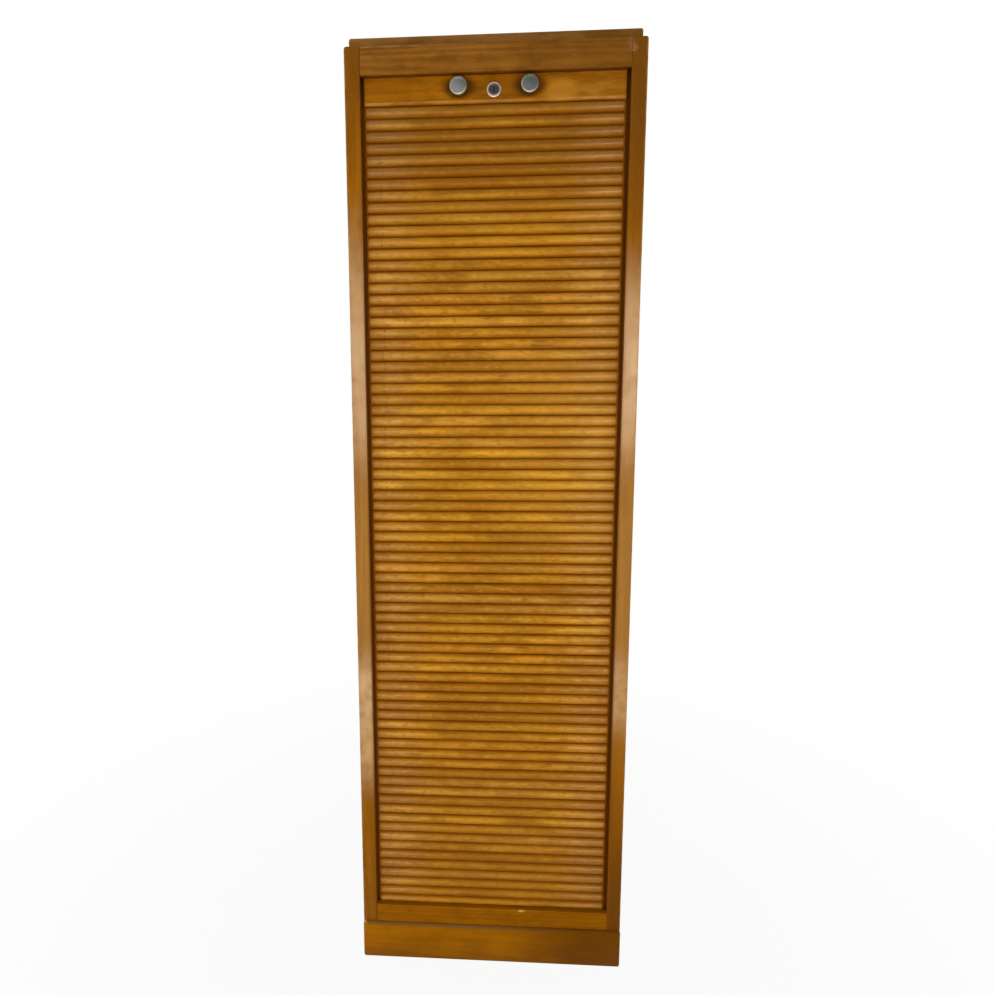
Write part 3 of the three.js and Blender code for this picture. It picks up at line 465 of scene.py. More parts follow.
def side_marks(place, blotches):
    x, y, z = place.parts()
    fine = place.cloud(55.0, 3.0)
    front = 1.0 - y.past(front_y + 0.004, front_y + 0.03)
    rightward = x.past(0.0, 0.1)
    leftward = 1.0 - rightward
    kicked_and_sheen = z.near(*KICKED_AND_SHEEN_LEFT) * leftward * 1.4 + z.near(*KICKED_AND_SHEEN_RIGHT) * rightward * 1.1
    reached_and_sheen = z.near(*HANDLED_AND_SHEEN_LEFT) * leftward + z.near(*HANDLED_AND_SHEEN_RIGHT) * rightward
    reached_and_sheen = reached_and_sheen * (blotches + fine * 0.4).past(0.3, 0.8)
    handled_and_sheen = reached_and_sheen.larger(kicked_and_sheen * (0.6 + fine.past(0.3, 0.6) * 0.4)) * front
    head = (z.past(1.45, 1.58) * 0.38).larger(z.past(1.28, 1.5) * rightward * 0.72)
    outer = abs(x).past(side_high.x - 0.006, side_high.x - 0.001) * front
    foot = (1.0 - z.past(0.05, 0.55)) * (0.14 + rightward * 0.76)
    inner_arris = abs(x).near(side_low.x, 0.0045) * front
    arris = (abs(x) - y).past(side_high.x - front_y - 0.0035, side_high.x - front_y - 0.001)
    inward = 1.0 - abs(x).past(side_low.x + 0.0005, side_low.x + 0.0015)
    reveal = inward * y.past(front_y + 0.004, front_y + 0.014)
    inside = inward * y.past(inside_y, inside_y + 0.002)
    layers = [
        # Paler: wear with a painted sheen over the polished places, and a band of painted light
        ((handled_and_sheen * 0.45).larger(z.near(*PAINTED_LIGHT_BAND) * front * 0.24), PALE_WEAR_AND_SHEEN),
        (z.past(1.2, 1.5) * rightward * 0.75, SIDE_DARK),
        # Darker towards the top, and painted shade along the outer arris of the front
        (head.larger(outer * 0.15), HEAD_BROWN),
        (foot, FOOT_BROWN),
        (inner_arris * 0.45, SIDE_DARK),
        (arris * fine.past(0.3, 0.62) * 0.3, PALE_WEAR_AND_SHEEN),
        pink_patch(place),
        # Dirt and painted shade in the reveal beside the tambour, lighter under the top rail
        (reveal * (0.85 - z.past(1.49, 1.51) * 0.4), GAP_DIRT_AND_SHADE),
        (inside * 0.82, place.bench.laid(blotches, WAXED_LIGHT, WAXED_DARK)),
    ]
    return layers, inside * 0.15 + reveal * 0.4 - handled_and_sheen * 0.06, handled_and_sheen * 0.9


print("sides handled at z", HANDLED_AND_SHEEN_LEFT[0], "and kicked at z", KICKED_AND_SHEEN_LEFT[0])

# %% Marks of the rails and the plinth
CHIP_PLACE = (0.0578, front_y, rail_top - 0.0022)
CORNER_PLACE = (-0.2375, front_y + 0.004, plinth_top - 0.002)


def rail_marks(place, blotches):
    x, y, z = place.parts()
    fine = place.cloud(80.0, 3.0)
    front = 1.0 - y.past(front_y, front_y + 0.003)
    top_arris = z.near(side_top - 0.001, 0.003) * fine.past(0.25, 0.6) * front
    chip = place.spot(CHIP_PLACE, (0.0085, 0.006, 0.0026))
    left_end = (1.0 - x.past(-0.2148, -0.2132)) * (1.0 - z.past(side_top - 0.0005, side_top))
    layers = [
        # Pale along the top arris: partly wear, partly a painted highlight
        (top_arris * (1.0 - x.past(-0.18, -0.02)) * 0.28, PALE_WEAR_AND_SHEEN),
        (chip * fine.past(0.25, 0.5) * 0.8, CHIP_WHITE),
        (left_end * 0.7, NUT_BROWN),
        (x.past(0.05, 0.2) * z.past(1.2, 1.5) * 0.35, RAIL_DARK),
        pink_patch(place),
    ]
    return layers, chip * 0.2, 0.0


def plinth_marks(place, blotches):
    x, y, z = place.parts()
    fine = place.drawn(0.3).cloud(90.0, 3.0)
    rubbed = z.past(plinth_top - 0.0065, plinth_top - 0.003)
    right_end = (x + blotches * 0.12).past(0.04, 0.24) * 0.85
    foot = (1.0 - (z + blotches * 0.03).past(0.01, 0.04)) * 0.6
    layers = [
        (rubbed * (0.4 + fine * 0.6), GREY_WEAR),
        (right_end.larger(foot), FOOT_BROWN),
        (place.spot(CORNER_PLACE, (0.006, 0.012, 0.004)) * 0.8, CHIP_WHITE),
    ]
    return layers, rubbed * 0.15, 0.0


side_oak = oak("side_oak", "z", SIDE_LIGHT, SIDE_DARK, 0.0, side_marks, gloss=0.4, figure=0.42)
rail_oak = oak("rail_oak", "x", RAIL_LIGHT, RAIL_DARK, 3.1, rail_marks, cloudy=0.5)
foot_oak = oak("foot_oak", "x", LOWER_LIGHT, LOWER_DARK, 4.4, rail_marks, cloudy=0.6, sheen=0.1)
plinth_oak = oak("plinth_oak", "x", FOOT_LIGHT, FOOT_DARK, 5.7, plinth_marks, 0.42, cloudy=0.5, sheen=0.1)
board_oak = oak("board_oak", "x", BOARD_LIGHT, BOARD_DARK, 8.3, rail_marks, cloudy=0.7)
print("carcass finishes:", side_oak.name, rail_oak.name, plinth_oak.name, board_oak.name)

# %% [markdown]
# Inside, the oak was only waxed, so it is paler and duller than the outside. The inner back and the
# outer back are thin plywood, whose broad figure comes from a veneer that was peeled off a log.

# %% Finishes of the inside and the backs
PLY_LIGHT = (0.47, 0.29, 0.13)
PLY_DARK = (0.31, 0.17, 0.065)
GREY_DUST = (0.2, 0.15, 0.1)
WAX_GLOSS = 0.52


def dusty(place, blotches):
    dust = place.cloud(16.0, 4.0, 0.65).past(0.5, 0.75)
    return [(dust * 0.3, GREY_DUST)], dust * 0.12, 0.0


def finish_solids(finishes):
    """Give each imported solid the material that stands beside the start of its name."""
    for name, solid in nodes.items():
        for start, material in finishes.items():
            if name.startswith(start):
                solid.material_slots[0].material = material


shelf_oak = oak("shelf_oak", "x", WAXED_LIGHT, WAXED_DARK, 11.2, dusty, WAX_GLOSS)
rack_oak = oak("rack_oak", "z", WAXED_LIGHT, WAXED_DARK, 12.9, dusty, WAX_GLOSS)
cleat_oak = oak("cleat_oak", "y", WAXED_LIGHT, WAXED_DARK, 14.4, dusty, WAX_GLOSS)
plywood = oak("plywood", "z", PLY_LIGHT, PLY_DARK, 17.5, dusty, gloss=0.58)
finish_solids({"top_panel": shelf_oak, "bottom_board": shelf_oak, "rack": rack_oak, "groove_stop": rack_oak})
finish_solids({"false_back": plywood, "back_panel": plywood})
print("inside finishes:", shelf_oak.name, rack_oak.name, cleat_oak.name, plywood.name)

# %% [markdown]
# The slats were cut from many sticks, so each has its own tone, grain and stains, and one number
# stored on each slat moves all of these. The valleys between them and the ends beside the stiles are
# darker, partly with dirt and partly with painted shade. Over the whole front lies painted light as
# well: shade at the head and the foot and a paler middle. The patterns lie on a stored place, which
# stays with the wood, and not on Object coordinates.

# %% Finish of the tambour
SLAT_GOLD = (0.64, 0.318, 0.018)
SLAT_PALE = (0.6, 0.31, 0.042)
SLAT_ORANGE = (0.54, 0.215, 0.006)
SLAT_BROWN = (0.235, 0.09, 0.002)
SLAT_STAIN_AND_SHADE = (0.13, 0.048, 0.004)
SLAT_FLECK = (0.3, 0.08, 0.002)
VALLEY_BROWN = (0.24, 0.074, 0.0005)
CANVAS_LIGHT = (0.3, 0.23, 0.14)
CANVAS_DARK = (0.17, 0.12, 0.07)
THREADS = 5200.0
SLAT_GLOSS = 0.4
SLAT_HALF = 0.2108
STAPLE_X = -0.182


def stored(finish, name, out="Fac"):
    settings = {"attribute_name": name, "attribute_type": "GEOMETRY"}
    return finish.add("ShaderNodeAttribute", settings, {}, out)


def slat_wood(own, rest, tone, streaks, patches):
    """Layers for the tone and the figure of each slat."""
    second = tone.rest_of(5.7)
    zones = rest.drawn(0.25).cloud(9.0, 1.0)
    slid = rest.moved(rest.bench.vector(second * 0.06, 0.0, 0.0))
    figure = slid.drawn(0.5).drawn(0.8, "z").cloud(21.0, 3.0, 0.65)
    flecks = own.drawn(0.5).cloud(170.0, 2.0, 0.6)
    return [
        (tone.past(0.6, 0.85), SLAT_PALE),
        (second.past(0.45, 0.95) * 0.5, SLAT_ORANGE),
        (streaks.past(0.35, 0.72) * 0.4, SLAT_BROWN),
        ((1.0 - tone.past(0.0, 0.5)) * 0.68, SLAT_BROWN),
        (patches.past(0.44, 0.66) * 0.62, SLAT_BROWN),
        (zones.past(0.42, 0.62) * 0.45, SLAT_BROWN),
        (figure.past(0.48, 0.66) * 0.6, SLAT_BROWN),
        (flecks.past(0.5, 0.68) * 0.5, SLAT_FLECK),
        ((1.0 - flecks.past(0.32, 0.46)) * 0.28, SLAT_PALE),
    ]


def slat_painted_light(x, z, side):
    """Painted light over the whole front: shade at the head and the foot, a paler middle, darker ends."""
    # Painted light in paler bands; painted shade on the upper halves of the slats near the top and on the
    # lower halves near the foot
    painted_light_pool = z.near(1.33, 0.06) * 0.24 + z.near(0.94, 0.22) * 0.1
    shade_on_upper_halves = (z.past(1.12, 1.5) + z.past(1.36, 1.5)) * side.past(-0.5, 0.35)
    shade_on_lower_halves = (1.0 - z.past(0.15, 0.85)) * (1.0 - side.past(-0.6, 0.2))
    return [
        (z.past(1.12, 1.5) * 0.46, SLAT_BROWN),
        ((1.0 - z.past(0.05, 0.8)) * 0.42, SLAT_BROWN),
        (painted_light_pool, SLAT_GOLD),
        # A painted sheen at the right of the middle, and painted shade at the lower right
        (x.past(-0.04, 0.12) * z.near(0.99, 0.3) * 0.26, SLAT_PALE),
        (x.past(0.1, 0.2) * (1.0 - z.past(0.12, 0.4)) * 0.3, SLAT_BROWN),
        (shade_on_upper_halves * 0.28 + shade_on_lower_halves * 0.26, SLAT_STAIN_AND_SHADE),
        # Darker just under the lead slat, and painted shade towards the ends
        (z.past(curtain_top - 0.034, curtain_top - 0.01) * 0.4, SLAT_BROWN),
        (abs(x).past(SLAT_HALF - 0.034, SLAT_HALF - 0.006) * 0.3, SLAT_BROWN),
    ]


def slat_finish():
    finish = Finish("slat_oak")
    rest = stored(finish, "rest_place", "Vector")
    tone = stored(finish, "slat_tone")
    edge = stored(finish, "valley")
    own = rest.moved(finish.vector(tone * 9.0, tone * 31.0, tone * 17.0))
    x, y, z = rest.parts()
    lengthwise = own.drawn(0.06)
    streaks = lengthwise.cloud(150.0, 3.0, 0.6)
    pores = lengthwise.cloud(1300.0, 1.0).past(0.56, 0.7)
    patches = own.drawn(0.35).cloud(22.0, 3.0, 0.6)
    stain = own.drawn(0.2).cloud(75.0, 2.0).past(0.66, 0.76)
    marked = tone.rest_of(7.3).past(0.45, 0.5)
    speck = (x + tone * 0.006).near(STAPLE_X, 0.0016) * edge.near(0.4, 0.3) * marked
    valley_dirt_and_shade = (edge + streaks * 0.15).past(0.2, 1.08)
    packed = rest.drawn(0.2).cloud(34.0, 2.0).past(0.36, 0.62)
    ends = abs(x).past(SLAT_HALF - 0.0004, SLAT_HALF + 0.0014)
    colour = finish.layers(
        SLAT_GOLD,
        *slat_wood(own, rest, tone, streaks, patches),
        *slat_painted_light(x, z, stored(finish, "slat_side")),
        (stain * 0.4, SLAT_STAIN_AND_SHADE),
        (pores * 0.25, NUT_BROWN),
        (speck * 0.65, SLAT_STAIN_AND_SHADE),
        # Dirt and painted shade towards the valleys, less of it at mid-height
        (valley_dirt_and_shade * (0.62 + packed * 0.36) * (1.0 - z.near(0.93, 0.3) * 0.28), VALLEY_BROWN),
        # Painted shade towards the ends of the slats
        (abs(x).past(SLAT_HALF - 0.012, SLAT_HALF) * 0.6, VALLEY_BROWN),
        # Dirt and painted shade on the tongues in the gap beside the stiles
        (ends, GAP_DIRT_AND_SHADE),
    )
    return finish.surface(
        colour,
        SLAT_GLOSS + valley_dirt_and_shade * 0.25 + pores * 0.12 + patches.past(0.45, 0.7) * 0.08 + ends * 0.4,
        streaks * 0.25 - pores * 0.6,
        Specular_IOR_Level=OAK_SHEEN,
        Specular_Tint=SHEEN_TINT,
        Coat_Weight=(1.0 - valley_dirt_and_shade) * (1.0 - ends) * (0.08 + abs(x).past(0.1, 0.19) * 0.4),
        Coat_Roughness=0.24,
    )


def canvas_finish():
    finish = Finish("canvas")
    x, y, z = stored(finish, "rest_place", "Vector").parts()
    weave = finish.maths("SINE", x * THREADS) * finish.maths("SINE", z * THREADS) * 0.5 + 0.5
    return finish.surface(finish.laid(weave * 0.5, CANVAS_LIGHT, CANVAS_DARK), 0.9, weave)


slat_oak = slat_finish()
canvas = canvas_finish()
print("tambour finishes:", slat_oak.name, canvas.name)

# %% [markdown]
# One slat is a half-round bead with a flat tongue at each end, which runs in the groove. It could be a
# box with a rounded edge, but the ends show: they are rounded over, and a dark gap lies beside them.
# So the mesh is a row of sections along X, whose crown sinks towards the shoulder. Each point also
# keeps how far it lies towards the valleys, and on which side of the slat, for the finish to read.

# %% One slat
front_low, front_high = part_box("tambour_section_01")
curtain_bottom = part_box("tambour_section_11")[0].z
SLATS = 77
TONGUE_DEPTH = 0.0044
CROWN = 0.007
SLAT_GAP = 0.0004
CROWN_FACES = 14
WELD = 1e-6
slat_pitch = (curtain_top - curtain_bottom + SLAT_GAP / 2) / SLATS
slat_half_height = (slat_pitch - SLAT_GAP) / 2
slat_back_y = front_low.y + CROWN + TONGUE_DEPTH

# Distance from the shoulder inwards, share of the crown, and share of the height
END_SHARES = [(0.0, 0.5, 0.8), (0.0006, 0.7, 0.89), (0.0016, 0.86, 0.955), (0.003, 0.95, 0.99)]
END_SHARES.append((0.005, 1.0, 1.0))
INNER_STATIONS = [-0.16, -0.12, -0.08, -0.04, 0.0, 0.04, 0.08, 0.12, 0.16]


def slat_section(x, crown_share, height_share):
    """Points of one section, each with its share of the way from the crest to the valley."""
    radius = (slat_half_height**2 + CROWN**2) / (2 * CROWN)
    reach = math.atan2(slat_half_height, radius - CROWN)
    loop = [(x, 0.0, -slat_half_height, 1.0), (x, 0.0, slat_half_height, 1.0)]
    loop.append((x, -TONGUE_DEPTH, slat_half_height, 1.0))
    for i in range(CROWN_FACES + 1):
        angle = reach - 2 * reach * i / CROWN_FACES
        out = TONGUE_DEPTH + (radius * math.cos(angle) - radius + CROWN) * crown_share
        loop.append((x, -out, radius * math.sin(angle) * height_share, abs(angle) / reach))
    loop.append((x, -TONGUE_DEPTH, -slat_half_height, 1.0))
    return loop


def slat_mesh(tongue_x):
    stations = [(tongue_x, 0.0, 1.0), (SLAT_HALF, 0.0, 1.0)]
    stations += [(SLAT_HALF - inward, crown, height) for inward, crown, height in END_SHARES]
    left = [(-x, crown, height) for x, crown, height in stations]
    inner = [(x, 1.0, 1.0) for x in INNER_STATIONS]
    loops = [slat_section(*station) for station in left + inner + stations[::-1]]
    count = len(loops[0])
    points = [point for loop in loops for point in loop]
    faces = []
    for row in range(len(loops) - 1):
        for i in range(count):
            a, b = row * count + i, row * count + (i + 1) % count
            faces.append((a, a + count, b + count, b))
    faces.append(tuple(range(count)))
    faces.append(tuple(reversed(range((len(loops) - 1) * count, len(loops) * count))))
    mesh = bpy.data.meshes.new("slat_pattern")
    mesh.from_pydata([point[:3] for point in points], [], faces)
    valley = mesh.attributes.new("valley", "FLOAT", "POINT")
    valley.data.foreach_set("value", [point[3] for point in points])
    side = mesh.attributes.new("slat_side", "FLOAT", "POINT")
    side.data.foreach_set("value", [point[2] / slat_half_height for point in points])
    shape = bmesh.new()
    shape.from_mesh(mesh)
    bmesh.ops.remove_doubles(shape, verts=shape.verts, dist=WELD)
    bmesh.ops.recalc_face_normals(shape, faces=shape.faces)
    shape.to_mesh(mesh)
    shape.free()
    return put("slat_pattern", mesh)


print("slat pitch", round(slat_pitch * 1000, 3), "mm, back at y", round(slat_back_y, 4))

# %% [markdown]
# The tambour is one slat repeated along a path, which is just what Geometry Nodes are for. The path is
# a curve, the tree puts a slat at equal steps of it and turns each by the path's direction, and small
# seeded turns keep them from looking ruled. The cloth that holds them is a thin strip behind.

# %% A geometry tree with named inputs, and the one that lays slats along a path
ROCK_SHARES = (1.0, 0.012, 0.012)
WAVE_SCALE = 19.0
CLOTH_COLUMNS = 12


class Pattern(Bench):
    def __init__(self, name, inputs):
        super().__init__(bpy.data.node_groups.new(name, "GeometryNodeTree"))
        self.sockets = {}
        make = self.tree.interface.new_socket
        for label, kind in inputs.items():
            socket = make(name=label, in_out="INPUT", socket_type="NodeSocket" + kind)
            self.sockets[label] = socket.identifier
        make(name="Geometry", in_out="OUTPUT", socket_type="NodeSocketGeometry")
        self.given = self.add("NodeGroupInput", {}, {})

    def chance(self, kind, low, high, first, out):
        """A random value for each slat. The first input of its kind of value is given by number."""
        values = {first: low, first + 1: high, "Seed": self.given.output("Seed")}
        return self.add("FunctionNodeRandomValue", {"data_type": kind}, values, out)

    def keep(self, geometry, name, value, kind, domain):
        settings = {"data_type": kind, "domain": domain}
        values = {"Geometry": geometry, "Name": name, "Value": value}
        return self.add("GeometryNodeStoreNamedAttribute", settings, values)

    def coloured(self, geometry, material):
        return self.add("GeometryNodeSetMaterial", {}, {"Geometry": geometry, "Material": material})


def curtain_tree():
    numbers = {"Slats": "Int", "Rock": "Float", "Waviness": "Float", "Seed": "Int"}
    woods = {"Wood": "Material", "Cloth": "Material", "Cloth Size": "Vector", "Cloth Middle": "Vector"}
    tree = Pattern("slats_on_path", {"Path": "Geometry", "Slat": "Object", **numbers, **woods})
    pick = tree.given.output
    values = {"Curve": tree.given, "Count": pick("Slats")}
    points = tree.add("GeometryNodeCurveToPoints", {"mode": "COUNT"}, values)
    _, along_y, along_z = points.output("Tangent").parts()
    lean = tree.maths("ARCTAN2", along_y, 0.0 - along_z)
    least = tuple(-share for share in ROCK_SHARES)
    rock_x, rock_y, rock_z = tree.chance("FLOAT_VECTOR", least, ROCK_SHARES, 0, 0).parts()
    turn = tree.vector(lean + rock_x * pick("Rock"), rock_y * pick("Rock"), rock_z * pick("Rock"))
    slat = tree.add("GeometryNodeObjectInfo", {}, {"Object": pick("Slat")}, "Geometry")
    values = {"Points": points, "Instance": slat, "Rotation": turn}
    placed = tree.add("GeometryNodeInstanceOnPoints", {}, values)
    toned = tree.keep(placed, "slat_tone", tree.chance("FLOAT", 0.0, 1.0, 2, 1), "FLOAT", "INSTANCE")
    wooden = tree.add("GeometryNodeRealizeInstances", {}, {"Geometry": toned})
    where = tree.add("GeometryNodeInputPosition", {}, {})
    values = {"Vector": where, "Scale": WAVE_SCALE, "Detail": 1.0}
    soft = tree.add("ShaderNodeTexNoise", {}, values, "Color")
    small = tree.vectors("MULTIPLY", tree.vectors("SUBTRACT", soft, (0.5, 0.5, 0.5)), pick("Waviness"))
    waved = tree.add("GeometryNodeSetPosition", {}, {"Geometry": wooden, "Offset": small})
    values = {"Size": pick("Cloth Size"), "Vertices X": CLOTH_COLUMNS, "Vertices Z": SLATS + 1}
    strip = tree.add("GeometryNodeMeshCube", {}, values, "Mesh")
    hung = tree.add("GeometryNodeTransform", {}, {"Geometry": strip, "Translation": pick("Cloth Middle")})
    both = tree.add("GeometryNodeJoinGeometry", {}, {"Geometry": tree.coloured(waved, pick("Wood"))})
    tree.tree.links.new(tree.coloured(hung, pick("Cloth")).socket, both.socket.node.inputs[0])
    told = tree.keep(both, "rest_place", where, "FLOAT_VECTOR", "POINT")
    tree.add("NodeGroupOutput", {}, {"Geometry": told})
    return tree


slats_on_path = curtain_tree()
print("tree has", len(slats_on_path.tree.nodes), "nodes")

# %% [markdown]
# The modifier's inputs are set before anything is evaluated, and the result is baked into a plain
# mesh. Faces that meet at a shallow angle are shaded as one round surface, and the others stay crisp.

# %% Helpers that bake a tree and shade a piece
SMOOTH_ANGLE = math.radians(38)


def shade(mesh):
    mesh.shade_smooth()
    mesh.set_sharp_from_angle(angle=SMOOTH_ANGLE)


def evaluated_mesh(source):
    bpy.context.view_layer.update()
    return bpy.data.meshes.new_from_object(source.evaluated_get(bpy.context.evaluated_depsgraph_get()))


def path_curve(name, points):
    data = bpy.data.curves.new(name, "CURVE")
    data.dimensions = "3D"
    spline = data.splines.new("POLY")
    spline.points.add(len(points) - 1)
    for point, place in zip(spline.points, points):
        point.co = (*place, 1.0)
    return put(name, data)


def baked(name, path, pattern, inputs):
    """The pattern laid along a path of points, as one plain mesh."""
    source = path_curve(name + "_path", path)
    modifier = source.modifiers.new(name, "NODES")
    modifier.node_group = pattern.tree
    for label, value in inputs.items():
        modifier[pattern.sockets[label]] = value
    mesh = evaluated_mesh(source)
    source.modifiers.remove(modifier)
    bpy.data.objects.remove(source)
    mesh.name = name
    shade(mesh)
    return put(name, mesh)


print("helpers ready")

# %% [markdown]
# The closed front is the straight part of the path. When the tambour opens, the real slats follow the
# groove under the floor and up the back. A joint can't bend them round, so here the front is only hung
# on the tambour's body and moves with it.

# %% The closed front
SLAT_ROCK = 0.03
SLAT_WAVINESS = 0.0005
CANVAS_HALF = 0.198
CANVAS_DEPTH = 0.001


def curtain(name, path, numbers, depth, height, y, z):
    """Slats on a canvas of this depth and height, whose front and middle are at y and z."""
    size = (2 * CANVAS_HALF, depth, height)
    middle = (0.0, y + CANVAS_DEPTH / 2, z)
    cloth = {"Wood": slat_oak, "Cloth": canvas, "Cloth Size": size, "Cloth Middle": middle}
    return baked(name, path, slats_on_path, {**numbers, **cloth})


long_slat = slat_mesh(front_high.x)
front_path = [
    (0.0, slat_back_y, curtain_top - slat_pitch / 2),
    (0.0, slat_back_y, curtain_top - (SLATS - 0.5) * slat_pitch),
]
front_numbers = {"Slat": long_slat, "Slats": SLATS, "Rock": SLAT_ROCK, "Waviness": SLAT_WAVINESS, "Seed": 7}
canvas_height = curtain_top - curtain_bottom - SLAT_GAP
canvas_z = (curtain_top + curtain_bottom) / 2
front_canvas = (CANVAS_DEPTH, canvas_height, slat_back_y, canvas_z)
front_slats = curtain("tambour_front", front_path, front_numbers, *front_canvas)
sections = [name for name in sorted(nodes) if name.startswith("tambour_section")]
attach(front_slats, "tambour")
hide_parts(*sections)
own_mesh(front_slats)
print("front:", len(front_slats.data.polygons), "faces, replaces", len(sections), "solids")

# %% [markdown]
# The last four slats hang down behind the rail and lead the tambour into the bend. They are made by
# the same tree on a path that turns under the floor. Their tongues are left short.

# %% The tail in the bend
TAIL_SLATS = 4
SHORT_TONGUE_X = 0.213
BEND_RADIUS = 0.0428
BEND_BEHIND_FRONT = 0.0667
BEND_Z = 0.0812
TAIL_STEPS = 40
bend_y = front_y + BEND_BEHIND_FRONT


def tail_place(distance):
    """The place (y, z) on the path, by the distance along it from the end of the closed front."""
    straight = curtain_top - SLATS * slat_pitch - BEND_Z
    if distance <= straight:
        return bend_y - BEND_RADIUS, BEND_Z + straight - distance
    angle = (distance - straight) / BEND_RADIUS
    return bend_y - BEND_RADIUS * math.cos(angle), BEND_Z - BEND_RADIUS * math.sin(angle)


short_slat = slat_mesh(SHORT_TONGUE_X)
tail_length = (TAIL_SLATS - 1) * slat_pitch
tail_steps = [slat_pitch / 2 + tail_length * i / TAIL_STEPS for i in range(TAIL_STEPS + 1)]
tail_path = [(0.0, *tail_place(distance)) for distance in tail_steps]
tail_numbers = {"Slat": short_slat, "Slats": TAIL_SLATS, "Rock": 0.0, "Waviness": 0.0, "Seed": 21}
tail_canvas = (CANVAS_DEPTH / 2, slat_pitch / 2, *tail_place(slat_pitch / 4))
tail = curtain("tambour_tail_slats", tail_path, tail_numbers, *tail_canvas)
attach(tail, "tambour")
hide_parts("tambour_tail")
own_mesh(tail)
for used in (long_slat, short_slat):
    bpy.data.objects.remove(used)
print("tail:", len(tail.data.polygons), "faces")

# %% [markdown]
# The solids came as loose triangles, so each would be shaded as if it were cut from paper. A merged
# copy of a board, with its flat faces joined again, catches the light along its rounded arrises as
# wood does. The plinth and the board on top are plain boxes, and their ends show against the floor and
# the wall. They are made again with a rounder edge wherever hands, feet and brooms have worn them.

# %% Boards of the carcass
FLAT_ANGLE = math.radians(0.5)
PLINTH_ROUND = 0.006
TOP_ROUND = 0.004
LEAST_SHARE = 0.1
ROUND_SEGMENTS = 6

# Keys are (end or middle, front or back, top or bottom), values are shares of the widest round
PLINTH_SHARES = {(0, -1, 1): 1.0, (0, -1, -1): 0.3, (1, -1, 0): 0.5, (1, 0, -1): 0.75, (1, 0, 1): 0.5}
TOP_SHARES = {(1, 0, 1): 1.0, (0, -1, 1): 0.4, (0, 1, 1): 0.4, (1, -1, 0): 0.7, (1, 1, 0): 0.7}


def stood_for(piece, node):
    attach(piece, nodes[node]["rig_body"])
    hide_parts(node)
    return piece


def merged(node, material):
    mesh = nodes[node].data.copy()
    mesh.name = node + "_merged"
    shape = bmesh.new()
    shape.from_mesh(mesh)
    bmesh.ops.remove_doubles(shape, verts=shape.verts, dist=WELD)
    bmesh.ops.dissolve_limit(
        shape, angle_limit=FLAT_ANGLE, verts=shape.verts, edges=shape.edges, delimit={"NORMAL"}
    )
    shape.to_mesh(mesh)
    shape.free()
    mesh.materials.clear()
    mesh.materials.append(material)
    shade(mesh)
    return stood_for(put(mesh.name, mesh), node)


def rounded_box(node, widest, shares, material):
    """A box as large as the node. Each edge takes its share of the widest round from the side it lies on."""
    low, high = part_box(node)
    middle = (low + high) / 2
    half = (high - low) / 2
    shape = bmesh.new()
    bmesh.ops.create_cube(shape, size=2.0)
    weight = shape.edges.layers.float.new("bevel_weight_edge")
    for edge in shape.edges:
        lies = sum((vertex.co for vertex in edge.verts), Vector()) / 2
        edge[weight] = shares.get((round(abs(lies.x)), round(lies.y), round(lies.z)), LEAST_SHARE)
    for vertex in shape.verts:
        vertex.co = middle + vertex.co * half
    mesh = bpy.data.meshes.new(node + "_rounded")
    shape.to_mesh(mesh)
    shape.free()
    mesh.materials.append(material)
    piece = put(mesh.name, mesh)
    bevel = piece.modifiers.new("rounded", "BEVEL")
    bevel.width = widest
    bevel.segments = ROUND_SEGMENTS
    bevel.limit_method = "WEIGHT"
    finished = evaluated_mesh(piece)
    piece.modifiers.clear()
    shade(finished)
    piece.data = finished
    return stood_for(piece, node)


merged_boards = {
    "left_side": (side_oak, "oak_frame"),
    "right_side": (side_oak, "oak_frame"),
    "top_rail": (rail_oak, "oak_frame"),
    "bottom_rail": (foot_oak, "oak_frame"),
}
for name in nodes:
    if name.startswith("shelf"):
        merged_boards[name] = (shelf_oak, "oak_inner")
    elif name.startswith("cleat"):
        merged_boards[name] = (cleat_oak, "oak_inner")
for name, (board, slot) in merged_boards.items():
    piece = merged(name, board)
    print(name, "merged:", len(piece.data.polygons), "faces")
plinth = rounded_box("plinth", PLINTH_ROUND, PLINTH_SHARES, plinth_oak)
top = rounded_box("top_board", TOP_ROUND, TOP_SHARES, board_oak)
print("rounded:", plinth.name, top.name)

# %% [markdown]
# The lead slat is the wide one that carries the knobs and the lock. It is the part that hands touch
# most: the varnish is dark with grease and painted shade round the knobs, bare beside the right one,
# and rubbed pale along the lower edge, which also takes a painted highlight. Painted shade lies at its
# ends beside the stiles, and a painted shadow of the top rail on its upper right.

# %% Lead slat
LEAD_GOLD = (0.37, 0.134, 0.003)
LEAD_BROWN = (0.2, 0.068, 0.002)
LEAD_PALE = (0.5, 0.24, 0.03)
GRIP_DIRT_AND_SHADE = (0.07, 0.02, 0.001)
RUBBED_GOLD_AND_HIGHLIGHT = (0.6, 0.3, 0.07)
LEAD_HALF = 0.21
LEAD_Y = -0.18
KNOB_X = 0.0565
HANDLE_Z = (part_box("knob_left")[0].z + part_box("knob_left")[1].z) / 2


def spot_on_lead(place, x, z, width, height):
    return place.spot((x, LEAD_Y, z), (width, 0.06, height))


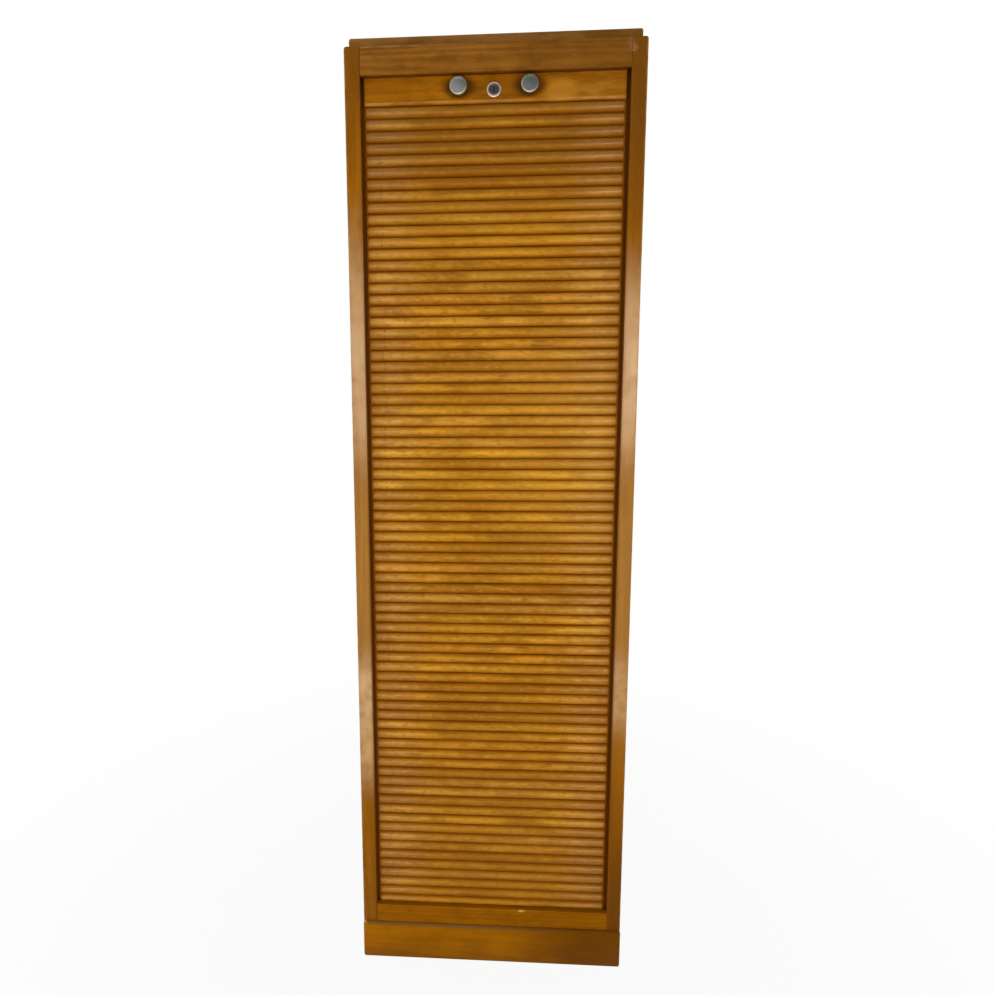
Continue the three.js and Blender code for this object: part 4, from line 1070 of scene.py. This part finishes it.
def lead_marks(place, blotches):
    x, y, z = place.parts()
    fine = place.drawn(0.25).cloud(60.0, 3.0)
    rightward = (x + fine * 0.12).past(0.1, 0.24)
    paler = rightward * fine.past(0.45, 0.66) * 0.4
    painted_rail_shadow = z.past(HANDLE_Z + 0.004, HANDLE_Z + 0.022) * x.past(0.02, 0.2)
    rubbed = z.near(curtain_top + 0.0026, 0.0026) * fine.past(0.2, 0.6)
    layers = [
        (rightward * 0.5, LEAD_BROWN),
        (paler, LEAD_PALE),
        # Painted shadow of the top rail on the upper right
        (painted_rail_shadow * 0.45, LEAD_BROWN),
        (spot_on_lead(place, 0.107, HANDLE_Z - 0.006, 0.034, 0.022) * 0.45, LEAD_PALE),
        # Rubbed pale along the lower edge, with a painted highlight on its rounding
        (rubbed * (0.55 + paler), RUBBED_GOLD_AND_HIGHLIGHT),
        # Painted shade at the ends beside the gap
        (abs(x).past(LEAD_HALF - 0.005, LEAD_HALF + 0.0005) * 0.4, GRIP_DIRT_AND_SHADE),
        # Dirt and painted shade on the tongues in the gap beside the stiles
        (abs(x).past(LEAD_HALF + 0.0006, LEAD_HALF + 0.0024), GAP_DIRT_AND_SHADE),
        # Darker between the knobs, and grease with painted shade round each knob
        (spot_on_lead(place, 0.004, HANDLE_Z, 0.075, 0.024) * 0.3, GRIP_DIRT_AND_SHADE),
        (spot_on_lead(place, 0.001 - KNOB_X, HANDLE_Z + 0.006, 0.035, 0.0215) * 0.95, GRIP_DIRT_AND_SHADE),
        (spot_on_lead(place, 0.001 + KNOB_X, HANDLE_Z + 0.006, 0.035, 0.0215) * 0.95, GRIP_DIRT_AND_SHADE),
    ]
    return layers, 0.0, 0.0


lead_oak = oak("lead_oak", "x", LEAD_GOLD, LEAD_BROWN, 21.3, lead_marks, cloudy=0.6)
lead = merged("lead_slat", lead_oak)
print("lead slat:", len(lead.data.polygons), "faces")

# %% [markdown]
# The knobs are turned from light metal: a flat face with a bevelled rim, a neck and a foot. A lathe
# does the same thing as a profile swept about an axis, so the mesh is made that way, with many more
# points round the bevel than the solid has.

# %% Turned metal
TURN_STEPS = 96
RIDGE_DEPTH = 0.00003
RIM_FADE = 0.001

# The colour of the rim's painted highlight, the radius where it starts and the share of it that shows
# at the upper right, then the painted light that the face inside it takes towards the lower left, and
# the share of that
Rim = namedtuple("Rim", ["colour", "start", "top_share", "face", "face_share"])


def arc_points(centre_radius, centre_y, radius, start, end, steps):
    angles = [math.radians(start + (end - start) * i / steps) for i in range(steps + 1)]
    return [(centre_radius + radius * math.cos(a), centre_y + radius * math.sin(a)) for a in angles]


def turned(name, profile, x, material, closed=False):
    """A profile of (radius, y) swept about an axis along Y, at the height of the knobs."""
    shape = bmesh.new()
    angles = [2 * math.pi * i / TURN_STEPS for i in range(TURN_STEPS)]
    rings = []
    for radius, y in profile:
        if radius == 0.0:
            rings.append([shape.verts.new((x, y, HANDLE_Z))])
            continue
        places = [(x + radius * math.cos(a), y, HANDLE_Z + radius * math.sin(a)) for a in angles]
        rings.append([shape.verts.new(place) for place in places])
    pairs = list(zip(rings, rings[1:]))
    if closed:
        pairs.append((rings[-1], rings[0]))
    for first, second in pairs:
        for i in range(TURN_STEPS):
            j = (i + 1) % TURN_STEPS
            if len(first) == 1:
                shape.faces.new((first[0], second[i], second[j]))
            elif len(second) == 1:
                shape.faces.new((first[i], first[j], second[0]))
            else:
                shape.faces.new((first[i], first[j], second[j], second[i]))
    bmesh.ops.recalc_face_normals(shape, faces=shape.faces)
    mesh = bpy.data.meshes.new(name)
    shape.to_mesh(mesh)
    shape.free()
    shade(mesh)
    mesh.materials.append(material)
    return put(name, mesh)


def metal(name, bright, dull, gloss, ridges, tarnish, axis_x=0.0, rim=None):
    """Turned metal: fine rings about its axis, scratches, tarnish in patches, and with a rim painted light.
    """
    finish = Finish(name)
    place = finish.place()
    x, y, z = place.parts()
    from_axis = finish.vector(x - axis_x, 0.0, z - HANDLE_Z).length()
    scratches = place.drawn(0.12).cloud(1900.0, 2.0).past(0.6, 0.72)
    spread = place.cloud(160.0, 4.0, 0.6).past(0.42, 0.7)
    layers = [(spread * tarnish, dull), (scratches * 0.25, bright)]
    if rim:
        # A painted highlight on the rim, stronger towards the lower left, and painted light on the lower
        # left of the face
        down = (axis_x - x) * (0.5 / rim.start) + (HANDLE_Z - z) * (0.85 / rim.start)
        low = down.past(-0.9, 0.9)
        shown = low * (1.0 - rim.top_share) + rim.top_share
        rim_highlight = from_axis.past(rim.start, rim.start + RIM_FADE) * shown
        layers += [(low * rim.face_share, rim.face), (rim_highlight * (1.0 - spread * 0.4), rim.colour)]
    colour = finish.layers(bright, *layers)
    relief = from_axis.waves(ridges) * 0.6 + scratches * 0.4
    return finish.surface(colour, gloss + spread * 0.14 + scratches * 0.1, relief, RIDGE_DEPTH, Metallic=1.0)


print("lathe ready")

# %% Knobs
KNOB_BRIGHT = (0.108, 0.115, 0.112)
KNOB_GREENISH = (0.062, 0.071, 0.065)
KNOB_DULL = (0.06, 0.07, 0.065)
# Colours of the painted light on the face and of the painted highlight on the rim
KNOB_LIT = (0.29, 0.3, 0.3)
RIM_HIGHLIGHT = (0.38, 0.34, 0.28)
KNOB_RADIUS = 0.014
KNOB_RIM = 0.0022
KNOB_DISH = 0.0004
KNOB_LIP = 0.0008
KNOB_HEAD = 0.0055
KNOB_EDGE = 0.001
KNOB_HOLLOW = 0.0035
KNOB_NECK_RADIUS = 0.006
KNOB_FOOT_RADIUS = 0.0085
KNOB_FOOT_ROUND = 0.0007
KNOB_BORE_RADIUS = 0.0023
KNOB_BORE_DEPTH = 0.0088
RIM_INSET = 0.0026
face_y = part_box("knob_left")[0].y
seat_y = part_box("knob_left")[1].y


def knob_profile():
    dish_y = face_y + KNOB_DISH
    rim_radius = KNOB_RADIUS - KNOB_RIM
    bottom_y = seat_y - KNOB_BORE_DEPTH
    points = [(0.0, dish_y), (KNOB_NECK_RADIUS, dish_y), (rim_radius - 0.0014, dish_y)]
    points += arc_points(rim_radius, face_y + KNOB_LIP, KNOB_LIP, 235, 300, 5)
    points += arc_points(rim_radius, face_y + KNOB_RIM, KNOB_RIM, 320, 360, 6)
    points += [(KNOB_RADIUS, face_y + KNOB_HEAD)]
    points += arc_points(KNOB_RADIUS - KNOB_EDGE, face_y + KNOB_HEAD + 0.0003, KNOB_EDGE, 10, 80, 5)
    points += arc_points(KNOB_NECK_RADIUS + KNOB_HOLLOW, face_y + 0.0106, KNOB_HOLLOW, 270, 180, 8)
    points += [(KNOB_NECK_RADIUS, seat_y - 0.005)]
    points += arc_points(KNOB_FOOT_RADIUS - KNOB_FOOT_ROUND, seat_y - 0.0018, KNOB_FOOT_ROUND, 250, 350, 5)
    points += [(KNOB_FOOT_RADIUS, seat_y - 0.001), (KNOB_FOOT_RADIUS, seat_y), (KNOB_BORE_RADIUS, seat_y)]
    return points + [(KNOB_BORE_RADIUS, bottom_y), (0.0, bottom_y)]


knobs = [("left", -KNOB_X, KNOB_BRIGHT, 0.5), ("right", KNOB_X, KNOB_GREENISH, 0.25)]
for side, knob_x, bright, lit in knobs:
    rim = Rim(RIM_HIGHLIGHT, KNOB_RADIUS - RIM_INSET, 0.15, KNOB_LIT, lit)
    zinc = metal("knob_metal_" + side, bright, KNOB_DULL, 0.34, 9000.0, 0.7, knob_x, rim)
    knob = turned("knob_turned_" + side, knob_profile(), knob_x, zinc)
    stood_for(knob, "knob_" + side)
print("knob", round(KNOB_RADIUS * 2000, 1), "mm across, face at y", round(face_y, 4))

# %% [markdown]
# The lock is a bright ring on the wood, the mouth of its cylinder, and a dark plug with a keyway. The
# ring and the mouth are turned, and beyond a set radius their nickel takes a painted highlight, most
# towards the lower left. The plug, the hook and the screws keep their solids, because they are small
# or lie inside.

# %% Lock
NICKEL_BRIGHT = (0.16, 0.14, 0.12)
NICKEL_DULL = (0.07, 0.06, 0.055)
RING_HIGHLIGHT = (0.6, 0.42, 0.3)
STEEL_BRIGHT = (0.2, 0.2, 0.21)
STEEL_DULL = (0.1, 0.095, 0.095)
PLUG_BRIGHT = (0.05, 0.045, 0.05)
PLUG_DULL = (0.025, 0.02, 0.022)
# A painted highlight on the nickel beyond 8.2 mm from the axis, most towards the lower left
RING_RIM = Rim(RING_HIGHLIGHT, 0.0082, 0.55, RING_HIGHLIGHT, 0.0)
RING_BITE = 0.0006
RING_ROUND = 0.0016
MOUTH_LIP = 0.0005
PLUG_BORE = 0.0072

dark_steel = metal("plug_metal", PLUG_BRIGHT, PLUG_DULL, 0.4, 5000.0, 0.8)
nickel = metal("nickel", NICKEL_BRIGHT, NICKEL_DULL, 0.24, 7000.0, 0.5, rim=RING_RIM)
steel = metal("steel", STEEL_BRIGHT, STEEL_DULL, 0.38, 3000.0, 0.8)
ring_low, ring_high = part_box("lock_rosette")
mouth_low, mouth_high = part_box("lock_housing")
ring_radius = ring_high.x
mouth_radius = mouth_high.x
ring_bore = mouth_radius + 0.0002


def ring_profile():
    points = [(ring_bore, ring_low.y + RING_BITE)]
    points += arc_points(ring_bore + RING_BITE, ring_low.y + RING_BITE, RING_BITE, 200, 270, 4)
    points += arc_points(ring_radius - RING_ROUND, ring_low.y + RING_ROUND, RING_ROUND, 270, 360, 8)
    return points + [(ring_radius, ring_high.y), (ring_bore, ring_high.y)]


def mouth_profile():
    points = arc_points(PLUG_BORE + MOUTH_LIP, mouth_low.y + MOUTH_LIP, MOUTH_LIP, 180, 270, 4)
    points += arc_points(mouth_radius - MOUTH_LIP, mouth_low.y + MOUTH_LIP, MOUTH_LIP, 270, 360, 4)
    return points + [(mouth_radius, mouth_high.y), (PLUG_BORE, mouth_high.y)]


ring = turned("lock_ring_turned", ring_profile(), 0.0, nickel, closed=True)
stood_for(ring, "lock_rosette")
mouth = turned("lock_housing_turned", mouth_profile(), 0.0, nickel, closed=True)
stood_for(mouth, "lock_housing")
finish_solids({"keeper": steel, "hook_screw": steel, "knob_screw": steel})
finish_solids({"lock_hook": steel, "lock_nut": steel, "lock_plug": dark_steel})
print("lock ring", round(ring_radius * 2000, 1), "mm across")

# %% [markdown]
# The outer back is a thin panel let into a rebate and pinned all round. Pins are the plainest case for
# Geometry Nodes: points along a line, and one small head on each of them.

# %% Pins of the back panel
PIN_RADIUS = 0.0016
PIN_PROUD = 0.0002
PIN_LENGTH = 0.0008
PIN_INSET = 0.006
PIN_SPACING = 0.118
PIN_SIDES = 16
PATH_OVERLAP = 0.05
back_low, back_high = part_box("back_panel")


def pin_tree():
    numbers = {"Spacing": "Float", "Radius": "Float", "Depth": "Float"}
    tree = Pattern("pins_round_panel", {"Panel": "Geometry", **numbers, "Metal": "Material"})
    pick = tree.given.output
    values = {"Curve": tree.given, "Length": pick("Spacing")}
    points = tree.add("GeometryNodeCurveToPoints", {"mode": "LENGTH"}, values)
    values = {"Vertices": PIN_SIDES, "Radius": pick("Radius"), "Depth": pick("Depth")}
    head = tree.add("GeometryNodeMeshCylinder", {"fill_type": "NGON"}, values, "Mesh")
    values = {"Points": points, "Instance": head, "Rotation": (math.pi / 2, 0.0, 0.0)}
    placed = tree.add("GeometryNodeInstanceOnPoints", {}, values)
    real = tree.add("GeometryNodeRealizeInstances", {}, {"Geometry": placed})
    tree.add("NodeGroupOutput", {}, {"Geometry": tree.coloured(real, pick("Metal"))})
    return tree


pin_y = back_high.y + PIN_PROUD - PIN_LENGTH / 2
edge_x = back_high.x - PIN_INSET
edge_low, edge_high = back_low.z + PIN_INSET, back_high.z - PIN_INSET
corners = [(-edge_x, edge_low), (edge_x, edge_low), (edge_x, edge_high), (-edge_x, edge_high)]
corners.append((-edge_x, edge_low + PATH_OVERLAP))
pin_path = [(x, pin_y, z) for x, z in corners]
pin_inputs = {"Spacing": PIN_SPACING, "Radius": PIN_RADIUS, "Depth": PIN_LENGTH, "Metal": steel}
pins = baked("back_pins", pin_path, pin_tree(), pin_inputs)
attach(pins, "cabinet")
print("pins:", len(pins.data.polygons), "faces")

# %% Finish
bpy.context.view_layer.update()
